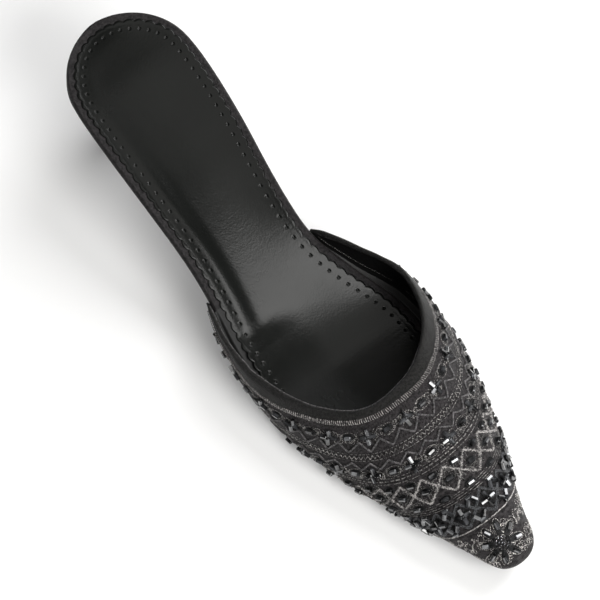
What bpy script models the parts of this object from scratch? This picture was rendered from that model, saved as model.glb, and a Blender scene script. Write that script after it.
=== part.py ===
"""Kitten heel mule, right shoe, as an assembly of the pieces that a shoemaker puts together.

Frame: metres, +Z up, floor at Z = 0. The toe points to -Y and the heel to +Y. The outer side of
the foot (lateral) is -X and the inner side (medial) is +X. Stations are measured in millimetres
along the floor from the back of the heel seat towards the toe.
"""

import math

import bmesh
import bpy
import numpy as np

MM = 0.001

# ---------------------------------------------------------------- driving dimensions, in mm

BOARD_LENGTH = 263.0  # insole board, heel back to toe, along the floor
HEEL_ROUND = 25.0  # length of the rounded heel seat
TOE_ROUND = 7.0  # length of the rounded toe tip
TOE_SQUARE = 2.8
FIT_GAP = 0.3  # gap between neighbouring pieces
SOCK_GAP = 0.4  # the sock follows the dished board a little further off

OUTSOLE_THICK = 2.8
BOARD_THICK = 3.6
SOCK_THICK = 1.0
SOCK_INSET = 4.3
WALL = 1.8  # satin, interlining and lining together
WING_WALL = 1.1  # the wall skived thin where the wings run out at the waist
FOREPART_TUCK = 0.7  # outsole edge inside the upper in the forepart
WAIST_TUCK = 1.6  # outsole edge inside the board at the waist
BINDING_WIDTH = 6.4
BINDING_PROUD = 0.25
JOIN_GAP = 0.4  # between the binding and the upper, along each rib

HEEL_BREAST = 47.0  # station of the heel's front face, under the board
TOP_PIECE_HEIGHT = 5.5

ORIGIN_STATION = 133.0  # station of the origin, the middle of the length
ORIGIN_ACROSS = 1.4  # from the heel's centre line to the middle of the width

# Plan outline of the insole board and height of the outsole's underside.
SOLE_SECTIONS = {
    "station": (0, 15, 30, 60, 90, 110, 130, 150, 165, 180, 200, 220, 240, 252, 263),
    "lateral": (25.5, 26.0, 27.4, 28.2, 27.9, 29.2, 32.4, 33.6, 33.0, 31.2, 26.0, 18.8, 12.0, 7.8, 5.6),
    "medial": (26.0, 27.0, 27.8, 25.3, 21.0, 19.7, 25.2, 33.6, 34.8, 33.8, 30.2, 23.6, 14.8, 10.2, 7.8),
    "height": (50.6, 49.0, 47.0, 39.8, 28.0, 19.0, 9.6, 2.0, 0.0, 0.0, 0.3, 1.6, 4.0, 5.9, 7.4),
}

# How far the footbed's middle lies below its edges, and how much its inner edge is raised.
BED_SECTIONS = {
    "station": (0, 25, 60, 100, 135, 165, 263),
    "dish": (1.2, 1.8, 1.8, 1.8, 1.2, 0.4, 0.0),
    "arch": (0.0, 0.0, 0.8, 2.0, 1.2, 0.0, 0.0),
}

# The last above the feather line: crest height, crest offset to the inner side, how square the
# section is across and upwards (2 is an ellipse), and how far each side swells out low down.
UPPER_SECTIONS = {
    "station": (100, 115, 130, 150, 165, 180, 195, 210, 225, 240, 252, 265),
    "crest": (80.0, 74.5, 64.5, 54.0, 48.0, 43.0, 38.0, 32.6, 26.8, 20.8, 16.2, 12.4),
    "ridge": (0.0, 0.0, 1.0, 2.5, 3.5, 4.0, 4.0, 3.5, 2.5, 1.5, 0.8, 0.0),
    "across": (2.4, 2.4, 2.4, 2.4, 2.35, 2.3, 2.3, 2.3, 2.3, 2.3, 2.3, 2.3),
    "upward": (2.0, 2.0, 2.0, 2.0, 2.0, 2.0, 2.0, 2.0, 2.0, 2.0, 2.0, 2.0),
    "outer_swell": (0.0, 1.2, 2.6, 3.2, 2.7, 2.0, 1.8, 2.0, 2.4, 2.4, 2.1, 1.7),
    "inner_swell": (0.0, 1.4, 3.2, 4.8, 4.8, 4.3, 3.5, 2.8, 2.6, 2.5, 2.1, 1.7),
}
SWELL_LOW = 0.55  # below 1 keeps the swell low on the sides
NOSE_LENGTH = 16.0  # how far back from the tip the toe begins to round down
NOSE_SQUARE = 2.2

# The topline from the outer wing over the throat to the inner wing: station, and degrees round
# the section from the outer feather line (0) over the crest (90) to the inner feather line (180).
TOPLINE = {
    "station": (109.5, 118.0, 134.0, 154.0, 172.5, 184.5, 187.0, 182.0, 171.0, 154.0, 136.0, 121.0, 111.0),
    "degrees": (2.5, 8.0, 16.5, 28.0, 43.5, 63.0, 86.0, 108.0, 130.0, 149.0, 161.5, 170.0, 177.0),
}
THROAT_ROW = 6  # the row above at the middle of the throat

RIBS = 82  # ribs from wing to wing, closer together round the toe
RIB_ROWS = 15  # points on each rib
RIB_CROWDING = 1.35
HEAD_EVEN = 0.35  # the ribs fan out over the toe and stand upright in the wings
HEAD_CROWDING = 2.6
DENSE = 160  # points on a finely sampled curve

# Covered heel, from its seat down to the top piece: drop as a share of the height, the stations
# of its back and breast and of its widest point, and its half width.
HEEL_SECTIONS = {
    "drop": (0.0, 0.10, 0.22, 0.38, 0.56, 0.78, 1.0),
    "back": (1.2, 3.2, 6.6, 10.4, 13.2, 14.8, 15.4),
    "widest": (25.0, 23.5, 22.0, 21.0, 20.6, 20.6, 20.8),
    "breast": (HEEL_BREAST, 42.6, 37.4, 32.6, 29.6, 28.2, 27.8),
    "half_width": (26.4, 22.0, 16.4, 11.0, 7.6, 6.0, 5.6),
    "square": (9.0, 6.0, 4.4, 3.6, 3.2, 3.0, 3.0),  # how flat the breast is across
}
HEEL_SIDES = 40

# ---------------------------------------------------------------- curves from the tables


def smooth(table, column, at, key="station"):
    """A monotone cubic through a table's column, held flat beyond its ends."""
    x = np.asarray(table[key], float)
    y = np.asarray(table[column], float)
    slope = np.diff(y) / np.diff(x)
    tangent = np.concatenate([[slope[0]], (slope[:-1] + slope[1:]) / 2, [slope[-1]]])
    tangent[1:-1][slope[:-1] * slope[1:] <= 0] = 0.0
    limit = 3 * np.minimum(np.abs(np.append(slope, slope[-1])), np.abs(np.insert(slope, 0, slope[0])))
    tangent = np.clip(tangent, -limit, limit)
    at = np.clip(np.asarray(at, float), x[0], x[-1])
    i = np.clip(np.searchsorted(x, at, side="right") - 1, 0, len(x) - 2)
    width = x[i + 1] - x[i]
    t = (at - x[i]) / width
    return (
        (1 + 2 * t) * (1 - t) ** 2 * y[i]
        + t * (1 - t) ** 2 * width * tangent[i]
        + t * t * (3 - 2 * t) * y[i + 1]
        + t * t * (t - 1) * width * tangent[i + 1]
    )


def arc_lengths(points):
    """Distance along a polyline at each of its points."""
    steps = np.linalg.norm(np.diff(points, axis=0), axis=1)
    return np.concatenate([[0.0], np.cumsum(steps)])


def at_lengths(points, lengths):
    """Points at these distances along a polyline."""
    run = arc_lengths(points)
    return np.stack([np.interp(lengths, run, points[:, k]) for k in range(points.shape[1])], axis=1)


def spline(points, count):
    """A Catmull-Rom curve through points, with count samples evenly spaced by row."""
    points = np.asarray(points, float)
    ends = np.vstack([2 * points[0] - points[1], points, 2 * points[-1] - points[-2]])
    at = np.linspace(0, len(points) - 1, count)
    i = np.minimum(at.astype(int), len(points) - 2)
    t = (at - i)[:, None]
    a, b, c, d = ends[i], ends[i + 1], ends[i + 2], ends[i + 3]
    return 0.5 * (2 * b + (c - a) * t + (2 * a - 5 * b + 4 * c - d) * t**2 + (3 * b - a - 3 * c + d) * t**3)


def eased_stations(first, last, count):
    """Stations that crowd towards both ends, where an outline turns round."""
    return first + (last - first) * (1 - np.cos(np.linspace(0, math.pi, count))) / 2


# ---------------------------------------------------------------- plan outlines


def board_centre(station):
    return (smooth(SOLE_SECTIONS, "medial", station) - smooth(SOLE_SECTIONS, "lateral", station)) / 2


def board_half(station):
    """Half width of the board, with its heel and toe rounded off."""
    station = np.asarray(station, float)
    half = (smooth(SOLE_SECTIONS, "medial", station) + smooth(SOLE_SECTIONS, "lateral", station)) / 2
    heel = np.clip((HEEL_ROUND - station) / HEEL_ROUND, 0, 1)
    toe = np.clip((station - BOARD_LENGTH + TOE_ROUND) / TOE_ROUND, 0, 1)
    return half * np.sqrt(1 - heel**2) * (1 - toe**TOE_SQUARE) ** (1 / TOE_SQUARE)


def side_edge(side, offset):
    """(station, across) points of one edge, heel to toe, moved outwards by offset(station)."""
    station = eased_stations(0.0, BOARD_LENGTH, 4 * DENSE)
    across = board_centre(station) + side * board_half(station)
    step_station = np.gradient(station)
    step_across = np.gradient(across)
    length = np.hypot(step_station, step_across)
    out = offset(station)
    return np.stack(
        [station - side * out * step_across / length, across + side * out * step_station / length], axis=1
    )


def edge_across(side, offset, station):
    """Where a moved edge lies across the shoe at these stations."""
    edge = side_edge(side, offset)
    keep = np.maximum.accumulate(edge[:, 0])
    rising = np.concatenate([[True], np.diff(keep) > 1e-9])
    return np.interp(station, edge[rising, 0], edge[rising, 1])


def even_offset(distance):
    return lambda station: np.full_like(np.asarray(station, float), distance)


def ease(at, start, end):
    """0 before start and 1 after end, smoothly."""
    t = np.clip((np.asarray(at, float) - start) / (end - start), 0, 1)
    return t * t * (3 - 2 * t)


def outsole_offset(station):
    """Tucked under the board at the waist, out beyond the upper in the forepart."""
    out = FIT_GAP + WALL - FOREPART_TUCK
    return -WAIST_TUCK + (WAIST_TUCK + out) * ease(station, 100.0, 128.0)


def wall_thickness(station):
    return WING_WALL + (WALL - WING_WALL) * ease(station, 106.0, 126.0)


def upper_offset(station):
    """The upper's outer face at the feather line, out from the board's edge."""
    return FIT_GAP + wall_thickness(station)


# ---------------------------------------------------------------- heights


def sole_underside(station):
    return smooth(SOLE_SECTIONS, "height", station)


def feather_height(station):
    """Top of the outsole plus the gap, where board and upper begin."""
    return sole_underside(station) + OUTSOLE_THICK + FIT_GAP


def bed_height(station, share):
    """Top of the board; share runs from -1 at the outer edge to 1 at the inner edge."""
    dish = smooth(BED_SECTIONS, "dish", station)
    arch = smooth(BED_SECTIONS, "arch", station)
    lift = arch * np.clip(share, 0, 1) ** 1.5
    return feather_height(station) + BOARD_THICK - dish * (1 - np.abs(share) ** 2.2) + lift


# ---------------------------------------------------------------- the last's surface


def feather_curve():
    """The upper's outer feather line, from the outer wing round the toe to the inner wing."""
    halves = []
    for side, first in ((-1, TOPLINE["station"][0]), (1, TOPLINE["station"][-1])):
        edge = side_edge(side, upper_offset)
        edge = edge[edge[:, 0] >= first - 1.0]
        halves.append(edge)
    return halves


def last_centre(station):
    return board_centre(np.minimum(station, BOARD_LENGTH))


def last_half(station):
    lateral = edge_across(-1, upper_offset, station)
    medial = edge_across(1, upper_offset, station)
    return (medial - lateral) / 2, (medial + lateral) / 2


def toe_fall(station):
    """The crest's height falls to nothing at the very tip, as a rounded nose."""
    nose = np.clip((station - last_tip_station() + NOSE_LENGTH) / NOSE_LENGTH, 0, 1)
    return (1 - nose**NOSE_SQUARE) ** (1 / NOSE_SQUARE)


def last_height(station, across):
    """Height of the last's surface over a point of the plan."""
    half, centre = last_half(station)
    ridge = centre + smooth(UPPER_SECTIONS, "ridge", station)
    side_half = np.where(across < ridge, ridge - (centre - half), (centre + half) - ridge)
    share = np.clip(np.abs(across - ridge) / np.maximum(side_half, 1e-6), 0, 1)
    wide = smooth(UPPER_SECTIONS, "across", station)
    tall = smooth(UPPER_SECTIONS, "upward", station)
    crest = smooth(UPPER_SECTIONS, "crest", station) * toe_fall(station)
    return feather_height(np.minimum(station, BOARD_LENGTH)) + crest * (1 - share**wide) ** (1 / tall)


def last_point(station, degrees):
    """(station, across) of a point round the last's section."""
    half, centre = last_half(station)
    ridge = centre + smooth(UPPER_SECTIONS, "ridge", station)
    wide = smooth(UPPER_SECTIONS, "across", station)
    cosine = np.cos(np.radians(degrees))
    side_half = np.where(cosine > 0, ridge - (centre - half), (centre + half) - ridge)
    across = ridge - np.sign(cosine) * side_half * np.abs(cosine) ** (2 / wide)
    return np.stack([station, across], axis=-1)


def topline_halves():
    """Plan points of the topline, outer wing to throat and throat to inner wing."""
    rows = np.stack([TOPLINE["station"], TOPLINE["degrees"]], axis=1)
    curve = spline(rows, (len(rows) - 1) * 24 + 1)
    plan = last_point(curve[:, 0], curve[:, 1])
    middle = THROAT_ROW * 24
    return plan[: middle + 1], plan[middle:]


def rib_shares(count):
    """Positions from wing to wing, -1 to 1, crowded round the toe and a little at the wings."""
    even = np.linspace(-1, 1, count)
    size = np.abs(even)
    return np.sign(even) * (0.45 * size**RIB_CROWDING + 0.55 * np.sin(size * math.pi / 2) ** RIB_CROWDING)


def rib_feet_and_heads(shares):
    """Plan points on the feather line and on the topline for each rib."""
    outer_edge, inner_edge = feather_curve()
    outer_top, inner_top = topline_halves()
    tip = (outer_edge[-1] + inner_edge[-1]) / 2
    outer_edge = np.vstack([outer_edge, tip])[::-1]
    inner_edge = np.vstack([inner_edge, tip])[::-1]
    feet = np.zeros((len(shares), 2))
    heads = np.zeros((len(shares), 2))
    for chosen, edge, top in ((shares < 0, outer_edge, outer_top[::-1]), (shares >= 0, inner_edge, inner_top)):
        run = np.abs(shares[chosen])
        upright = HEAD_EVEN * run + (1 - HEAD_EVEN) * run**HEAD_CROWDING
        feet[chosen] = at_lengths(edge, run * arc_lengths(edge)[-1])
        heads[chosen] = at_lengths(top, upright * arc_lengths(top)[-1])
    return feet, heads


def ribs(shares):
    """Curves in space from the topline down to the feather line, one for each share."""
    feet, heads = rib_feet_and_heads(shares)
    crowd = np.linspace(1, 0, DENSE) ** 2.6
    plan = feet[:, None, :] + (heads - feet)[:, None, :] * crowd[None, :, None]
    height = last_height(plan[..., 0], plan[..., 1])
    along = np.gradient(feet, axis=0)
    outward = np.stack([-along[:, 1], along[:, 0]], axis=1)
    outward /= np.linalg.norm(outward, axis=1, keepdims=True)
    middle = np.array([last_tip_station() - 60.0, float(last_centre(last_tip_station() - 60.0))])
    facing = np.sign(np.sum(outward * (feet - middle), axis=1, keepdims=True))
    outward *= np.where(facing == 0, 1, facing)
    rise = height - feather_height(np.minimum(plan[..., 0], BOARD_LENGTH))
    rise = np.clip(rise / smooth(UPPER_SECTIONS, "crest", plan[..., 0]), 0, 1)
    inner = np.clip(0.5 + 4.0 * shares, 0, 1)[:, None]
    outer_swell = smooth(UPPER_SECTIONS, "outer_swell", plan[..., 0])
    inner_swell = smooth(UPPER_SECTIONS, "inner_swell", plan[..., 0])
    swell = (outer_swell * (1 - inner) + inner_swell * inner) * np.sin(math.pi * rise**SWELL_LOW)
    plan = plan + outward[:, None, :] * swell[..., None]
    return np.concatenate([plan, height[..., None]], axis=2)


def last_tip_station():
    return BOARD_LENGTH + FIT_GAP + WALL


def rib_points(curves, depths):
    """Points at given depths below the topline; depths is (ribs, rows), in mm along each rib."""
    return np.stack([at_lengths(curve, depth) for curve, depth in zip(curves, depths)])


def surface_normals(curves, depths):
    """Unit normals facing away from the foot, at given depths below the topline."""
    lengths = np.array([arc_lengths(curve)[-1] for curve in curves])[:, None]
    middle = np.clip(depths, 0.6, lengths - 0.6)
    down = rib_points(curves, middle + 0.5) - rib_points(curves, middle - 0.5)
    before = np.concatenate([curves[:1], curves[:-1]])
    after = np.concatenate([curves[1:], curves[-1:]])
    across = rib_points(after, depths) - rib_points(before, depths)
    normal = np.cross(down, across)
    return normal / np.linalg.norm(normal, axis=2, keepdims=True)


def binding_widths(curves):
    """How far down each rib the binding and then the upper begin, square to the topline.

    The binding narrows where the wings run out. The ribs' lengths come third.
    """
    lengths = np.array([arc_lengths(curve)[-1] for curve in curves])
    along = np.gradient(curves[:, 0], axis=0)
    down = rib_points(curves, np.minimum(3.0, lengths / 2)[:, None])[:, 0] - curves[:, 0]
    square = np.linalg.norm(np.cross(along, down), axis=1)
    square /= np.linalg.norm(along, axis=1) * np.linalg.norm(down, axis=1)
    square = np.maximum(square, 0.6)
    widths = np.minimum(BINDING_WIDTH / square, 0.55 * lengths)
    return widths, widths + JOIN_GAP / square, lengths


# ---------------------------------------------------------------- meshes


def to_frame(points):
    """(station, across, height) in mm to the row's frame in metres."""
    points = np.asarray(points, float)
    return np.stack(
        [
            (points[..., 1] - ORIGIN_ACROSS) * MM,
            (ORIGIN_STATION - points[..., 0]) * MM,
            points[..., 2] * MM,
        ],
        axis=-1,
    )


def new_material(name, colour, roughness, metallic=0.0):
    material = bpy.data.materials.new(name)
    material.use_nodes = True
    shader = material.node_tree.nodes["Principled BSDF"]
    shader.inputs["Base Color"].default_value = (*colour, 1.0)
    shader.inputs["Roughness"].default_value = roughness
    shader.inputs["Metallic"].default_value = metallic
    return material


def new_object(name, mesh_data, material, collection):
    mesh = bpy.data.meshes.new(name)
    mesh_data.to_mesh(mesh)
    mesh_data.free()
    mesh.materials.append(material)
    mesh.shade_smooth()
    mesh.set_sharp_from_angle(angle=math.radians(40))
    made = bpy.data.objects.new(name, mesh)
    collection.objects.link(made)
    return made


def loft_mesh(rings):
    """A closed solid through rings of the same number of points, capped at both ends."""
    mesh = bmesh.new()
    loops = [[mesh.verts.new(p) for p in ring] for ring in to_frame(rings)]
    for first, second in zip(loops, loops[1:]):
        for k in range(len(first)):
            nxt = (k + 1) % len(first)
            mesh.faces.new((first[k], first[nxt], second[nxt], second[k]))
    mesh.faces.new(loops[0][::-1])
    mesh.faces.new(loops[-1])
    bmesh.ops.triangulate(mesh, faces=[f for f in mesh.faces if len(f.verts) > 4])
    if mesh.calc_volume(signed=True) < 0:
        bmesh.ops.reverse_faces(mesh, faces=mesh.faces)
    return mesh


def wall_mesh(outer, inner):
    """A closed wall between two grids of points."""
    return loft_mesh(np.concatenate([outer, inner[:, ::-1]], axis=1))


def plate_rings(stations, lateral, medial, top, bottom, columns, edge_round):
    """Rings of a plate that follows the foot: flat underneath, any shape on top, with soft edges.

    top and bottom are functions of (station, share), share running from -1 to 1 across.
    """
    shares = np.sin(np.linspace(-math.pi / 2, math.pi / 2, columns))
    rings = []
    for station, low, high in zip(stations, lateral, medial):
        middle, half = (low + high) / 2, (high - low) / 2
        inner = max(0.0, 1 - edge_round / max(half, 1e-6))
        ring = []
        for share in shares:
            ring.append((station, middle + half * share * inner, float(top(station, share))))
        for share in (1, -1):
            upper, lower = float(top(station, share)), float(bottom(station, share))
            soft = min(edge_round, (upper - lower) * 0.4)
            heights = (upper - soft, lower + soft) if share == 1 else (lower + soft, upper - soft)
            if share == -1:
                ring.append((station, middle - half * inner, lower))
            ring.append((station, middle + share * half, heights[0]))
            ring.append((station, middle + share * half, heights[1]))
            if share == 1:
                ring.append((station, middle + half * inner, lower))
        rings.append(ring)
    return np.array(rings)


# ---------------------------------------------------------------- the pieces


def make_outsole(material, collection):
    """Leather sole from the heel breast to the toe, as one bent plate."""
    tip = BOARD_LENGTH + float(outsole_offset(BOARD_LENGTH))
    start = HEEL_BREAST + FIT_GAP
    bend = np.linspace(start, BOARD_LENGTH - 20.0, 34)
    nose = BOARD_LENGTH - 20.0 + (tip - 0.15 - BOARD_LENGTH + 20.0) * np.sin(np.linspace(0, math.pi / 2, 13))[1:]
    stations = np.concatenate([bend, nose])
    lateral = edge_across(-1, outsole_offset, stations)
    medial = edge_across(1, outsole_offset, stations)
    rings = plate_rings(
        stations,
        lateral,
        medial,
        top=lambda s, share: sole_underside(min(s, BOARD_LENGTH)) + OUTSOLE_THICK,
        bottom=lambda s, share: sole_underside(min(s, BOARD_LENGTH)),
        columns=3,
        edge_round=0.7,
    )
    return new_object("outsole", loft_mesh(rings), material, collection)


def make_board(material, collection):
    """Insole board covered in the upper's satin: dished at the heel, raised under the arch."""
    stations = eased_stations(0.12, BOARD_LENGTH - 0.12, 46)
    rings = plate_rings(
        stations,
        edge_across(-1, even_offset(0.0), stations),
        edge_across(1, even_offset(0.0), stations),
        top=bed_height,
        bottom=lambda s, share: feather_height(s),
        columns=9,
        edge_round=1.1,
    )
    return new_object("insole_board", loft_mesh(rings), material, collection)


def make_sock(material, collection):
    """Leather sock lining on the board, inset from its edge."""
    stations = eased_stations(SOCK_INSET + 0.12, BOARD_LENGTH - SOCK_INSET - 0.12, 44)
    lateral = edge_across(-1, even_offset(-SOCK_INSET), stations)
    medial = edge_across(1, even_offset(-SOCK_INSET), stations)
    board_low = edge_across(-1, even_offset(0.0), stations)
    board_high = edge_across(1, even_offset(0.0), stations)

    def board_share(station, share):
        low, high, outer, inner = (
            float(np.interp(station, stations, edge)) for edge in (lateral, medial, board_low, board_high)
        )
        across = (low + high) / 2 + share * (high - low) / 2
        return (across - (outer + inner) / 2) / max((inner - outer) / 2, 1e-6)

    rings = []
    for station, low, high in zip(stations, lateral, medial):
        shares = np.linspace(-1, 1, 9)
        across = (low + high) / 2 + shares * (high - low) / 2
        bed = np.array([float(bed_height(station, board_share(station, share))) for share in shares])
        upper = [(station, a, b + SOCK_GAP + SOCK_THICK) for a, b in zip(across, bed)]
        lower = [(station, a, b + SOCK_GAP) for a, b in zip(across, bed)]
        rings.append(upper + lower[::-1])
    return new_object("sock_lining", loft_mesh(np.array(rings)), material, collection)


def make_upper(material, collection):
    """Beaded satin vamp: one lasted wall, open at the back, over the throat and underneath."""
    curves = ribs(rib_shares(RIBS))
    _, first, lengths = binding_widths(curves)
    rows = np.linspace(0, 1, RIB_ROWS) ** 0.9
    depths = first[:, None] + (lengths - first)[:, None] * rows[None, :]
    outer = rib_points(curves, depths)
    normal = surface_normals(curves, depths)
    normal[:, -1, 2] = 0.0  # level along the feather line, so that the wall stands flat
    normal /= np.linalg.norm(normal, axis=2, keepdims=True)
    inner = outer - normal * wall_thickness(outer[..., 0])[..., None]
    return new_object("upper", wall_mesh(outer, inner), material, collection)


def make_binding(material, collection):
    """Folded satin ribbon round the topline, from wing to wing."""
    shares = rib_shares(RIBS)
    curves = ribs(shares)
    widths, _, _ = binding_widths(curves)
    levels = np.array([0.0, 0.12, 0.5, 1.0])
    depths = widths[:, None] * levels[None, :]
    points = rib_points(curves, depths)
    normals = surface_normals(curves, depths)
    outer = points + normals * BINDING_PROUD
    inner = points - normals * wall_thickness(points[..., 0])[..., None]
    lip = (outer[:, 0] + inner[:, 0]) / 2
    drop = points[:, 1] - points[:, 0]
    rings = np.stack(
        [
            lip,
            lip * 0.35 + outer[:, 0] * 0.65 + drop * 0.18,
            outer[:, 1],
            outer[:, 2],
            outer[:, 3],
            inner[:, 3],
            inner[:, 2],
            inner[:, 1],
            lip * 0.35 + inner[:, 0] * 0.65 + drop * 0.18,
        ],
        axis=1,
    )
    return new_object("topline_binding", loft_mesh(rings), material, collection)


def heel_ring(drop, seat_height, foot_height):
    """One section of the heel: round at the back, flat across the breast."""
    back, widest, breast, half, square = (
        float(smooth(HEEL_SECTIONS, column, drop, key="drop"))
        for column in ("back", "widest", "breast", "half_width", "square")
    )
    turn = np.linspace(0, 2 * math.pi, HEEL_SIDES, endpoint=False)
    across = half * np.sin(turn)
    rear = widest - (widest - back) * np.abs(np.cos(turn))
    front_across = half * np.sign(np.sin(turn)) * np.abs(np.sin(turn)) ** (2 / square)
    front = widest + (breast - widest) * np.abs(np.cos(turn)) ** (2 / square)
    is_rear = np.cos(turn) > 0
    station = np.where(is_rear, rear, front)
    across = np.where(is_rear, across, front_across)
    height = seat_height(station) * (1 - drop) + foot_height * drop
    return np.stack([station, across, height], axis=1)


def make_heel(material, collection):
    """Slim covered heel, flared into the heel seat."""
    drops = np.linspace(0, 1, 17)
    rings = [heel_ring(d, lambda s: feather_height(s) - FIT_GAP, TOP_PIECE_HEIGHT + FIT_GAP) for d in drops]
    return new_object("heel", loft_mesh(np.array(rings)), material, collection)


def make_top_piece(material, collection):
    """Hard rubber top piece that the heel stands on."""
    foot = heel_ring(1.0, lambda s: s * 0, 0.0)
    rings = []
    for height, grow in ((0.0, -0.5), (0.6, 0.1), (TOP_PIECE_HEIGHT, 0.1)):
        ring = foot.copy()
        middle = ring[:, :2].mean(axis=0)
        away = ring[:, :2] - middle
        ring[:, :2] += grow * away / np.linalg.norm(away, axis=1, keepdims=True)
        ring[:, 2] = height
        rings.append(ring)
    return new_object("top_piece", loft_mesh(np.array(rings)), material, collection)


def main():
    for old in list(bpy.data.objects):
        bpy.data.objects.remove(old)
    collection = bpy.data.collections.new("Kitten heel mule")
    bpy.context.scene.collection.children.link(collection)

    satin = new_material("black satin", (0.022, 0.021, 0.022), 0.55)
    ribbon = new_material("black satin ribbon", (0.028, 0.026, 0.027), 0.45)
    sock = new_material("black sock leather", (0.018, 0.018, 0.017), 0.38)
    sole = new_material("black sole leather", (0.014, 0.013, 0.013), 0.5)
    rubber = new_material("black top piece rubber", (0.012, 0.012, 0.012), 0.7)

    make_outsole(sole, collection)
    make_board(satin, collection)
    make_sock(sock, collection)
    make_upper(satin, collection)
    make_binding(ribbon, collection)
    make_heel(satin, collection)
    make_top_piece(rubber, collection)


if __name__ == "__main__":
    main()
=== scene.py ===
"""Looks of the kitten heel mule: satin, ribbon, embroidery, glass beads, leather and the studio.

Units are metres. The toe points to -Y, the inner side of the foot is +X, and the floor is Z = 0.
"""

import functools
import itertools
import math

import bmesh
import bpy
import numpy as np
from bpy.props import FloatProperty, FloatVectorProperty, IntProperty, PointerProperty
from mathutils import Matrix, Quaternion, Vector
from mathutils.bvhtree import BVHTree


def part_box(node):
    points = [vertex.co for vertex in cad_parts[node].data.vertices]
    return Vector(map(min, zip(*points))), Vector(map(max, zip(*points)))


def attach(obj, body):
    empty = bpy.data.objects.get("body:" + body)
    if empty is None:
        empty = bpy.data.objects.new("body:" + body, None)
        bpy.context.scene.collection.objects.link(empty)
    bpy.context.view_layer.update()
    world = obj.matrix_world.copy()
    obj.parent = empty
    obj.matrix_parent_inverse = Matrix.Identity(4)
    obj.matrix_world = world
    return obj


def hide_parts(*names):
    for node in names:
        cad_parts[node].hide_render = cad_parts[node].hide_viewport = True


bl_info = {
    "name": "Kitten heel mule",
    "version": (1, 0, 0),
    "blender": (4, 5, 0),
    "location": "View3D > Sidebar > Mule",
    "description": "Dresses the mule in satin, ribbon, embroidery, beads and leather",
    "category": "Object",
}

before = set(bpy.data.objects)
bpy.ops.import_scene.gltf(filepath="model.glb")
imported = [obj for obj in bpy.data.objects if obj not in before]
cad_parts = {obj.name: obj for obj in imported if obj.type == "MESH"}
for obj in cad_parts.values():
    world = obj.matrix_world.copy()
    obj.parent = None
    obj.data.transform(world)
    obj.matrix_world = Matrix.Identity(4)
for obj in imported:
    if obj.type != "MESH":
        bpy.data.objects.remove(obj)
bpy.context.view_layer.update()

MM = 0.001
MERGE = 1e-6  # distance under which the frame's loose vertices are one
BODY = "root"
UP = np.array([0.0, 0.0, 1.0])
ABOVE_ALL = 0.2  # a height above every piece, from which rays are cast down
SORTING_SLANT = Vector((1.0, 0.618, 0.237))  # beads' vertices are sorted along it, the same in every run

# ---- the vamp's fan and its rows

FAN_SHARE = 0.3  # the fan's centre, as a share of the upper's length forward of the wings' ends
FAN_HEIGHT = 12 * MM
FAN_SLIDE = 30 * MM  # how far the centre slides back along the wings for each radian past a quarter turn
FAN_COLUMNS = 441
FAN_CROWDING = 0.25  # below 1 the fan's lines crowd over the toe
RAY_REACH = 0.3  # rays are cast inwards from this far out
RAY_TILTS = np.radians(np.arange(86.0, -14.0, -0.16))  # from nearly upright to below level
FEWEST_HITS = 12  # with fewer rays that hit the shoe there is no face at this angle
FEWEST_KEPT = 8
COURSE_REACH = 5  # rays each way over which the face's course is measured
EDGE_ON = 0.45  # a normal that leans more along the face's course is on an edge
UNDERSIDE = -0.6  # and one that points more downwards is underneath
DEPTH_STEP = 0.5 * MM
DEPTH_ROWS = 221

# Depths below the topline, along the vamp, in metres.
LADDER_DEPTH = 5.4 * MM  # the ladder stitches' middle on the outer side of the foot
LADDER_DRIFT = 2.0 * MM  # how much deeper they lie on the inner side
LADDER_OUTER_DRIFT = 1.2 * MM  # and at the outer wing
LADDER_HEIGHT = 1.9 * MM
FLOWERS_UPPER = {"depth": 12.2 * MM, "pitch": 16.5 * MM, "shift": -4.3 * MM, "seed": 3}
ZIGZAG_UPPER = {"peak": 13.9 * MM, "valley": 18.4 * MM, "pitch": 9.1 * MM, "shift": 4.6 * MM}
FINE_ZIGZAG = {"peak": 19.8 * MM, "valley": 21.9 * MM, "pitch": 2.0 * MM}
ZIGZAG_LOWER = {"peak": 23.3 * MM, "valley": 26.4 * MM, "pitch": 8.2 * MM, "shift": 0.0}
FLOWERS_LOWER = {"depth": 28.6 * MM, "pitch": 17.0 * MM, "shift": 4.2 * MM, "seed": 5}
RUNNING_STITCH = 32.2 * MM
DIAMONDS = {"peak": 35.3 * MM, "valley": 45.9 * MM, "pitch": 21.6 * MM, "shift": -4.7 * MM}
DIAMOND_BUGLES = (36.3 * MM, 46.6 * MM)  # depths of the bugles above and below between diamonds
STRAIGHT_THREADS = (47.0 * MM, 47.9 * MM, 48.8 * MM, 49.7 * MM)
BEAD_LATTICE = {"peak": 50.4 * MM, "valley": 60.8 * MM, "pitch": 23.0 * MM, "shift": 2.1 * MM}
RAISED_CORD = 61.9 * MM
TOE_FLOWER = {"depth": 72.0 * MM, "shift": -3.6 * MM, "petals": 8}
TOE_BEADS = 6.6 * MM  # from the flower's middle to its ring of bugles
TOE_HEART = 3.4 * MM  # radius of the black thread round its heart
EMBROIDERY_END = 82.0 * MM

CORNER_STEPS = (-0.02, -0.0068, 0.0068, 0.02)  # shares of a zigzag's pitch over which its corners round off

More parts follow.
